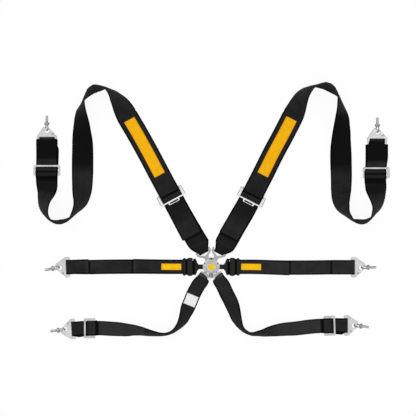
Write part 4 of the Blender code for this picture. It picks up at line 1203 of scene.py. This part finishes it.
anchorLook = {
    "slot": 27.8, "rod": 35.0, "rodWide": 8.0, "ringIn": 8.5, "ringTube": 2.25, "flange": 10.0, "shank": 5.5,
    "shankEnd": 47.0, "pitch": 12.316, "ringTurn": 24, "hand": {"lap_left": -1}, "pin": (17.5, -19.5),
    "ear": {"shoulder_left": None, "shoulder_right": (13.0, 29.4), "belt": (9.0, 26.3)},
    "boltTurn": {"lap_left": 9, "leg_left": 3, "leg_right": -7},
    "leverTurn": math.degrees(math.atan2(11.5, 18.5)),
    "thread": 1.27, "threadDeep": 0.72, "threadRows": 5, "threadSides": 32,
}


def hookPlate(hand, ear):
    # an ear is how far it reaches back beside the strap, and its inner edge
    look = anchorLook
    slot, bar, half = look["slot"], plate["bar"] / 2, plate["thick"] / 2
    r0, r1 = look["rod"] - look["rodWide"] / 2, look["rod"] + look["rodWide"] / 2
    back, notch = bar, []
    if ear:
        back, inner = ear
        notch = mirrored([(-back, -inner - 0.6, 1.2), (-bar, -inner, 0.6)])
    corners = notch + [
        (-back, slot + 8, 4), (6, slot + 9, 8), (42, 13, 5), (r1 + 3, 6, 1.5), (r1, 3.5, 1), (r1, -5, 2),
        (r1 - 3, -9, 1.5), (r0 + 1, -8, 1.5), (r0, -5, 1.5), (r0, 5, 1.5), (28.5, 6.5, 2), (22.5, 6.5, 2),
        (19.5, 3.5, 2), (19.5, -5, 3), (24.5, -9, 1.5), (27, -15, 1.2), (26, -18.5, 1.2), (6, -slot - 9, 8),
        (-back, -slot - 8, 4),
    ]
    outline = rounded([(a, b * hand, r) for a, b, r in corners])
    hole = rounded(mirrored([(bar, slot, 1.2), (bar + 3.2, slot, 1.4)]))
    body = stamped("hook", [outline, hole], -half, half, plate["edge"])
    x, y = look["pin"]
    profile = [(-1.0, 2.0), (2.0 + half, 2.0), (2.7 + half, 1.7), (3.0 + half, 1.0)]
    return joined("hook", [body, turned("pin", profile, 24, shift(x, y * hand))])


def gateLever():
    half = plate["thick"] / 2
    outline = rounded(mirrored([(-4.2, -4.2, 3.4), (4, -4.2, 2), (19, -2.4, 0), (21.2, -2.4, 2)]))
    return stamped("lever", [outline, circle(0, 0, 2.35)], half + 0.3, half + 2.1, 0.85)


def eyeBolt():
    look = anchorLook
    tube, flange, shank = look["ringTube"], look["flange"], look["shank"]
    radius = look["ringIn"] + tube
    ringX = look["ringIn"] - math.hypot(look["rodWide"] / 2, plate["thick"] / 2) - 0.2
    start = ringX + radius - 0.5
    deselect()
    bpy.ops.mesh.primitive_torus_add(
        major_radius=radius, minor_radius=tube, major_segments=56, minor_segments=18,
        rotation=(math.pi / 2, 0, 0),
    )
    ring = bpy.context.object
    bpy.ops.object.transform_apply(rotation=True)
    ring.data.transform(shift(ringX, 0) @ spin(look["ringTurn"], "X"))
    closeUp(ring, "bench", 40)
    bolt = turned("bolt", [
        (start - 1.2, 4.0), (start - 1.2, 8.0), (start - 0.4, 9.0), (start + 2.0, 9.0), (start + 2.6, 7.6),
        (start + 3.2, 7.6), (start + 3.8, flange), (start + 7.2, flange), (start + 8.0, flange - 0.9),
        (start + 8.0, shank), (start + 9.0, shank - 0.7),
    ], 48, spin(90, "Y"))
    # the thread winds round the shank, one ring of points at a time, and ends in a chamfer
    first, last, count = start + 8.0, look["shankEnd"] - 1.4, look["threadSides"]
    many = math.ceil((last - first) / look["thread"] * look["threadRows"])
    rings = []
    for i in range(many + 1):
        along = between(first, last, i / many)
        ease = max(0.0, min(1.0, (along - first) / 1.5, (last - along) / 1.5))
        ridges = [1 - abs(2 * ((along / look["thread"] - k / count) % 1.0) - 1) for k in range(count)]
        rings.append((along, [shank - 0.75 + look["threadDeep"] * min(1.0, r * 1.25) * ease for r in ridges]))
    rings.append((look["shankEnd"], [shank - 1.6] * count))
    points = []
    for along, radii in rings:
        for k, r in enumerate(radii):
            a = math.tau * k / count
            points.append(Vector((along, r * math.cos(a), r * math.sin(a))))
    faces = ringFaces(len(rings), count)
    faces += [tuple(range(count)), tuple(range(len(points) - count, len(points)))]
    thread = closeUp(fromPoints("thread", points, faces, 1), "bench", 60)
    return joined("bolt", [bolt, ring]), thread


def makeAnchors():
    look = anchorLook
    hooks, lever = {}, gateLever()
    bolt, thread = eyeBolt()
    pinX, pinY = look["pin"]
    for name, (x, y, heading) in bracketAt.items():
        hand = look["hand"].get(name, 1)
        at = place(x, y, height["bar"], heading, look["pitch"])
        kind = name if name in look["ear"] else "belt"
        if (kind, hand) not in hooks:
            hooks[kind, hand] = hookPlate(hand, look["ear"][kind])
        pivot = at @ shift(pinX, pinY * hand) @ spin(look["leverTurn"] * hand)
        eye = place(*(at @ Vector((look["rod"], 0, 0))), heading + look["boltTurn"].get(name, 0))
        fit(hooks[kind, hand], f"{name}_hook", at, "satinPlate", f"{name}_snap_bracket")
        fit(lever, f"{name}_gate_lever", pivot, "gateSteel", f"{name}_snap_gate")
        fit(bolt, f"{name}_eye_bolt", eye, "boltSteel", f"{name}_eyebolt")
        fit(thread, f"{name}_bolt_thread", eye, "threadSteel", f"{name}_eyebolt")
    clearBench(*hooks.values(), lever, bolt, thread)
    print("anchors:", len(bracketAt))


adjusterLook = {
    "inner": 39.3, "wall": 2.6, "half": 50.0, "rearBar": 3.0, "slideBar": 2.6, "travel": 3.5, "earLean": -3,
    "front": (-1.2, 4), "lip": (20.5, 22.5, 8.5), "knurl": 1.5, "earIn": 41.9,
    "raised": [("edge_shade", "zincSteel", 0.0, -0.2, 1.6), ("ears", "brightPlate", 2.4, 1.2, 2.6)],
}


def makeAdjusters():
    look, across, raised = adjusterLook, spin(90, "X"), []
    inner, outer, wide = look["inner"], look["inner"] + look["wall"], look["half"]
    slideX, slide = shoulder["slideX"], height["slide"] - height["rear"]
    front, thick = height["front"] - height["rear"], plate["thick"]
    f0, f1 = (shoulder["frontX"] + edge for edge in look["front"])
    lip, root, out = look["lip"]
    bar = stamped("bar", [
        rounded(mirrored([
            (f0, -wide, 2.4), (f1, -wide, 3.2), (f1, -root, 1.5), (f1 + out, -lip, 2.4),
        ])),
        rounded(mirrored([(f1 + 0.7, 17.0, 1.6), (f1 + 5.9, 16.0, 1.6)])),
    ], front, front + thick, 1.0)
    cheekLine = rounded([
        (-7, -3.6, 3), (10, -3.6, 4), (f1 - 1, front - 1, 3), (f1 - 1, front + thick - 0.2, 1),
        (f0 - 4, front + thick + 2, 3), (4, slide + 5.5, 4), (-7, 4, 4),
    ])
    track = look["slideBar"] + 0.3
    reach = look["travel"] + track
    trackHole = box(slideX - reach, slide - track, slideX + reach, slide + track, 2.2)
    # bright raised ears beside the webbing, each on a slightly wider dark plate that is painted shade round
    # its edges
    lean = shift(f0, 0, front) @ spin(look["earLean"], "Y") @ shift(-f0, 0)
    for word, finish, gap, low, high in look["raised"]:
        ears = []
        for hand in (1, -1):
            ear = rounded([
                (f0 + 2 - gap, look["earIn"], 0.4), (f0 + 2 - gap, wide - gap, 1.4),
                (gap - 3, wide - 0.8 - gap, 2.2), (gap - 3, look["earIn"], 0.8),
            ])
            ears.append(stamped("ear", [[(a, b * hand) for a, b in ear]], low, high, 0.5))
            ears[-1].data.transform(lean)
        raised.append((joined(word, ears), word, finish))
    parts = [bar]
    for start in (inner, -outer):
        cheek = stamped("cheek", [cheekLine, trackHole], -start - look["wall"], -start, 0.6)
        cheek.data.transform(across)
        parts.append(cheek)
    half, r = inner + 1, look["rearBar"]
    profile = [(-half, r - 0.4), (0.4 - half, r), (half - 0.4, r), (half, r - 0.4)]
    parts.append(turned("rear", profile, 32, across))
    body = joined("body", parts)

    half, r = outer + 1.2, look["slideBar"]
    knurl = []
    rise = 2 - inner
    while rise < inner - 2:
        knurl += [(rise, r), (rise + 0.5, r - 0.18), (rise + 1.0, r)]
        rise += look["knurl"]
    profile = [(-half, r - 0.5), (0.5 - half, r), *knurl, (half - 0.5, r), (half, r - 0.5)]
    roller = turned("roller", profile, 28, shift(slideX, 0, slide) @ across)

    for side, (x, y, heading) in adjusterAt.items():
        name, at = f"shoulder_{side}", place(x, y, height["rear"], heading)
        for model, word, finish in raised:
            fit(model, f"{name}_adjuster_{word}", at, finish, f"{name}_adjuster_frame", stands=False)
        fit(body, f"{name}_adjuster_body", at, "brightPlate", f"{name}_adjuster_frame")
        fit(roller, f"{name}_roller", at, "zincSteel", f"{name}_slide_bar")
    clearBench(body, roller, *(row[0] for row in raised))
    print("adjusters:", len(adjusterAt))


tongueLook = {"latch": (17.5, 0, 3.0), "edge": 0.8, "lapHalf": 26.2}


def tongueShapes():
    # half outlines of each kind of tongue and of its slot, from the tip to the strap's bar
    loop = height["loop"] + webbing["thick"] / 2
    half = plate["bar"] / 2
    bar, slot = barOut["shoulder"], webbing["tongue"] / 2 + 1.2
    b0, b1 = bar - half, bar + half
    shapes = {"shoulder": ([
        (13, 4.4, 2), (21, 7.4, 3), (36, 8, 6), (43, 12.2, 5), (47.5, 20, 6), (b0 - 2.5, slot + 8.0, 5),
        (b1 + 5.8, slot + 9.4, 3.0), (b1 + 5.2, slot + 3.4, 1.6), (b1, slot + 2.2, 1.2),
    ], [(45.5, 1.5, 1.2), (bar - loop - 0.5, slot, 1.8), (b0, slot, 1)])}
    bar, wide = barOut["lap"], tongueLook["lapHalf"]
    shapes["lap"] = ([
        (13, 4.4, 2), (21, 8.5, 3), (bar - 18, 8.5, 3), (bar - 9, wide + 1.8, 3), (bar + half, wide + 1.8, 2),
    ], [(bar - loop - 1, wide, 1.5), (bar - half, wide, 1)])
    bar, trim = barOut["leg"], webbing["legEnd"] / 2 + 0.8
    shapes["leg"] = ([
        (13, 4.4, 2), (21, 7, 3), (30.6, 7, 1), (33.5, trim + 5, 2.4), (bar + half, trim + 5, 2.6),
    ], [(bar - loop - 0.4, trim, 0.9), (bar - half, trim, 0.9)])
    return shapes


def makeTongues():
    low, high = (height["tongue"] + edge * plate["thick"] / 2 for edge in (-1, 1))
    latch = circle(*tongueLook["latch"])
    for kind, halves in tongueShapes().items():
        outlines = [rounded(mirrored(half)) for half in halves]
        model = stamped("tongue", [*outlines, latch], low, high, tongueLook["edge"])
        finish = "blackCoat" if kind == "lap" else "tonguePlate"
        for side in sides:
            name = f"{kind}_{side}"
            fit(model, f"{name}_latch_plate", spin(tongueHeading[name]), finish, f"{name}_tongue")
        clearBench(model)
    print("tongues:", len(tongueHeading))


buckleLook = {
    "top": 15.5, "knobTop": 21.5, "badge": 12.0, "seal": 20.2, "screw": 2.0, "key": 1.0,
    "screws": {1: (-18.2, -18.2), 2: (18.2, -18.2), 3: (-22.6, 11.8), 4: (22.6, 11.8)},
    "sight": (0, 27), "sightRims": (3.0, 1.9),
    "lobe": (0, 22), "lobeRims": (10.4, 7.8), "lobeSpan": (24, 156),
    "shadeStrips": (-5.1, 0.0, 5.1), "shadeStripHalf": 1.2, "shadeStripEnds": (-38, -22), "proud": 0.12, "markEdge": 0.05,
}


def makeBuckle():
    look = buckleLook
    top, proud, r = look["top"], look["top"] + look["proud"], look["seal"]
    for name, node, ease, finish in (
        ("buckle_shell", "buckle_housing", 0.7, "castAlloy"),
        ("buckle_base", "buckle_back_plate", 0.6, "zincSteel"),
        ("buckle_dial", "buckle_turn_knob", 0.6, "dialPlate"),
    ):
        dress(softened(name, node, ease), finish, [node], bodyOf[node])
    seal = turned("buckle_seal", [(top - 0.1, r), (top + 0.2, r), (top + 0.25, r - 0.4)], 64)
    dress(settle(seal), "castAlloy", (), "buckle")
    # painted shade: a dark line round the lobe, a dark ring round the sight hole and a dark floor inside it,
    # and three dark strips on the tab
    x, y = look["sight"]
    outer, inner = look["lobeRims"]
    start, end = look["lobeSpan"]
    lobe = arc(*look["lobe"], outer, start, end) + arc(*look["lobe"], inner, end, start)
    sunk = [[lobe], [circle(x, y, rim) for rim in look["sightRims"]]]
    marks = [stamped("mark", outlines, top - 0.3, proud, look["markEdge"]) for outlines in sunk]
    marks.append(turned("sight", [(top - 1.9, 2.0), (top - 1.6, 2.0)], 24, shift(x, y)))
    half, (start, end) = look["shadeStripHalf"], look["shadeStripEnds"]
    for x in look["shadeStrips"]:
        strip = box(x - half, start, x + half, end, 0.8)
        marks.append(stamped("strip", [strip], top - 0.9, proud, look["markEdge"]))
    dress(settle(joined("buckle_painted_shade", marks)), "blackOxide", (), "buckle")
    face, r = look["knobTop"], look["badge"]
    disc = turned("buckle_disc", [
        (face - 0.7, r), (face - 0.3, r), (face + 0.05, r - 0.5), (face + 0.1, r - 1.0),
        (face - 0.1, r - 1.4), (face - 0.05, r - 2.0), (face + 0.25, r - 6.0), (face + 0.35, r - 10.0),
        (face + 0.36, 0.5),
    ], 64)
    dress(settle(disc), "yellowBadge", ["buckle_badge"], "knob")
    s, r = look["screw"], look["key"]
    head = turned("head", [(top - 1.2, s), (top - 0.1, s), (top + 0.2, s - 0.35), (top + 0.2, s - 0.8)], 32)
    deselect()
    bpy.ops.mesh.primitive_cylinder_add(vertices=6, radius=r, depth=1.6 * r, location=(0, 0, top + 0.2))
    key = bpy.context.object
    bpy.ops.object.transform_apply(location=True)
    applied(head, "BOOLEAN", operation="DIFFERENCE", solver="EXACT", object=key)
    closeUp(head, "bench", 35)
    for number, (x, y) in look["screws"].items():
        fit(head, f"buckle_screw_head_{number}", shift(x, y), "blackOxide", f"buckle_screw_{number}")
    clearBench(head, key)
    for node in ("buckle_cam_plate", "buckle_latch_star", "buckle_centre_post", "buckle_return_spring"):
        inside = frame["nodes"][node].data.materials
        inside.clear()
        inside.append(materials["zincSteel"])
    print("buckle")


# the ribbed boot on each lap adjuster: rows of place along, half width, lowest and highest point
boot = {
    "outside": [
        (-23.5, 10.6, 4.6, 13.0), (-20, 14.0, 3.5, 14.5), (-16.5, 23.5, 1.8, 16.2), (-13.5, 29.0, 1.0, 17.4),
        (-11.6, 31.0, 0.5, 17.8), (-10.6, 30.2, 0.6, 17.0), (-9.6, 28.6, 0.7, 15.9), (-3.4, 28.6, 0.7, 15.9),
        (-2.4, 29.8, 0.6, 17.0), (-1.2, 31.2, 0.5, 18.0), (2, 32.4, 0.4, 18.6), (6.5, 33.0, 0.4, 18.9),
        (11, 32.4, 0.4, 18.6), (14.2, 31.2, 0.5, 17.9), (15.6, 29.9, 0.5, 16.9), (16.8, 28.6, 0.6, 15.9),
        (21.6, 28.6, 0.6, 15.7), (22.6, 29.9, 0.5, 16.4), (23.8, 31.2, 0.4, 17.0), (26.5, 32.0, 0.3, 16.8),
        (29, 31.2, 0.3, 15.6), (31, 29.8, 0.3, 13.6), (32.5, 28.8, 0.3, 12.2),
    ],
    "inside": [
        (32.5, 27.4, 1.1, 11.2), (28, 27.8, 1.2, 12.0), (21, 27.9, 1.6, 15.2), (0, 27.9, 2.0, 15.2),
        (-11, 27.9, 2.4, 15.2), (-15.5, 22.8, 4.4, 13.4), (-19, 9.4, 6.0, 12.0), (-23.5, 9.2, 6.1, 11.8),
    ],
    "grooves": [(-11.2, -1.8), (15.0, 23.2)], "segments": 72, "square": 0.35,
    "studX": -3.6, "studY": {"left": -24.5, "right": 21.5},
    "stud": [(15.2, 2.2), (16.3, 2.2), (16.8, 1.8), (17.1, 1.0)],
}


def ringRows(rows, step):
    # rows in between, eased, so that the ribs are round
    out = []
    for a, b in zip(rows, rows[1:]):
        count = max(1, round(abs(b[0] - a[0]) / step))
        for k in range(count):
            t = k / count
            ease = t * t * (3 - 2 * t)
            out.append((between(a[0], b[0], t), *(between(p, q, ease) for p, q in zip(a[1:], b[1:]))))
    return [*out, rows[-1]]


def squared(value):
    return math.copysign(abs(value) ** boot["square"], value)


def makeBoots():
    bar, count = barOut["lap"], boot["segments"]
    rows = ringRows(boot["outside"], 0.7) + ringRows(boot["inside"], 3)
    points = []
    for x, half, low, high in rows:
        for k in range(count):
            a = math.tau * (k + 0.5) / count
            rise = (low + high) / 2 + (high - low) / 2 * squared(math.sin(a))
            points.append(Vector((bar + x, half * squared(math.cos(a)), rise)))
    faces = ringFaces(len(rows), count, closed=True)
    shell = closeUp(fromPoints("shell", points, faces, 1), "bench", 50)
    along = [spot.co.x - bar for spot in shell.data.vertices]
    # painted shade, near black, in the boot's grooves
    paint(shell, "groove", [max(min(x - a, b - x, 1.0) for a, b in boot["grooves"]) for x in along])
    stud = turned("stud", boot["stud"], 24)
    for side in sides:
        name = f"lap_{side}"
        node, turn = f"{name}_adjuster_boot", spin(tongueHeading[name])
        fit(shell, f"{name}_ribbed_boot", turn, "bootRubber", node)
        at = turn @ shift(bar + boot["studX"], boot["studY"][side])
        fit(stud, f"{name}_boot_stud", at, "satinPlate", node, stands=False)
    clearBench(shell, stud)
    print("boots:", len(sides))


setStage()
for side in sides:
    lowerShoulder(side)
    upperShoulder(side)
    makeLap(side)
    makeLeg(side)
makeSliders()
makeAdjusters()
makeBoots()
makeAnchors()
makeTongues()
makeBuckle()
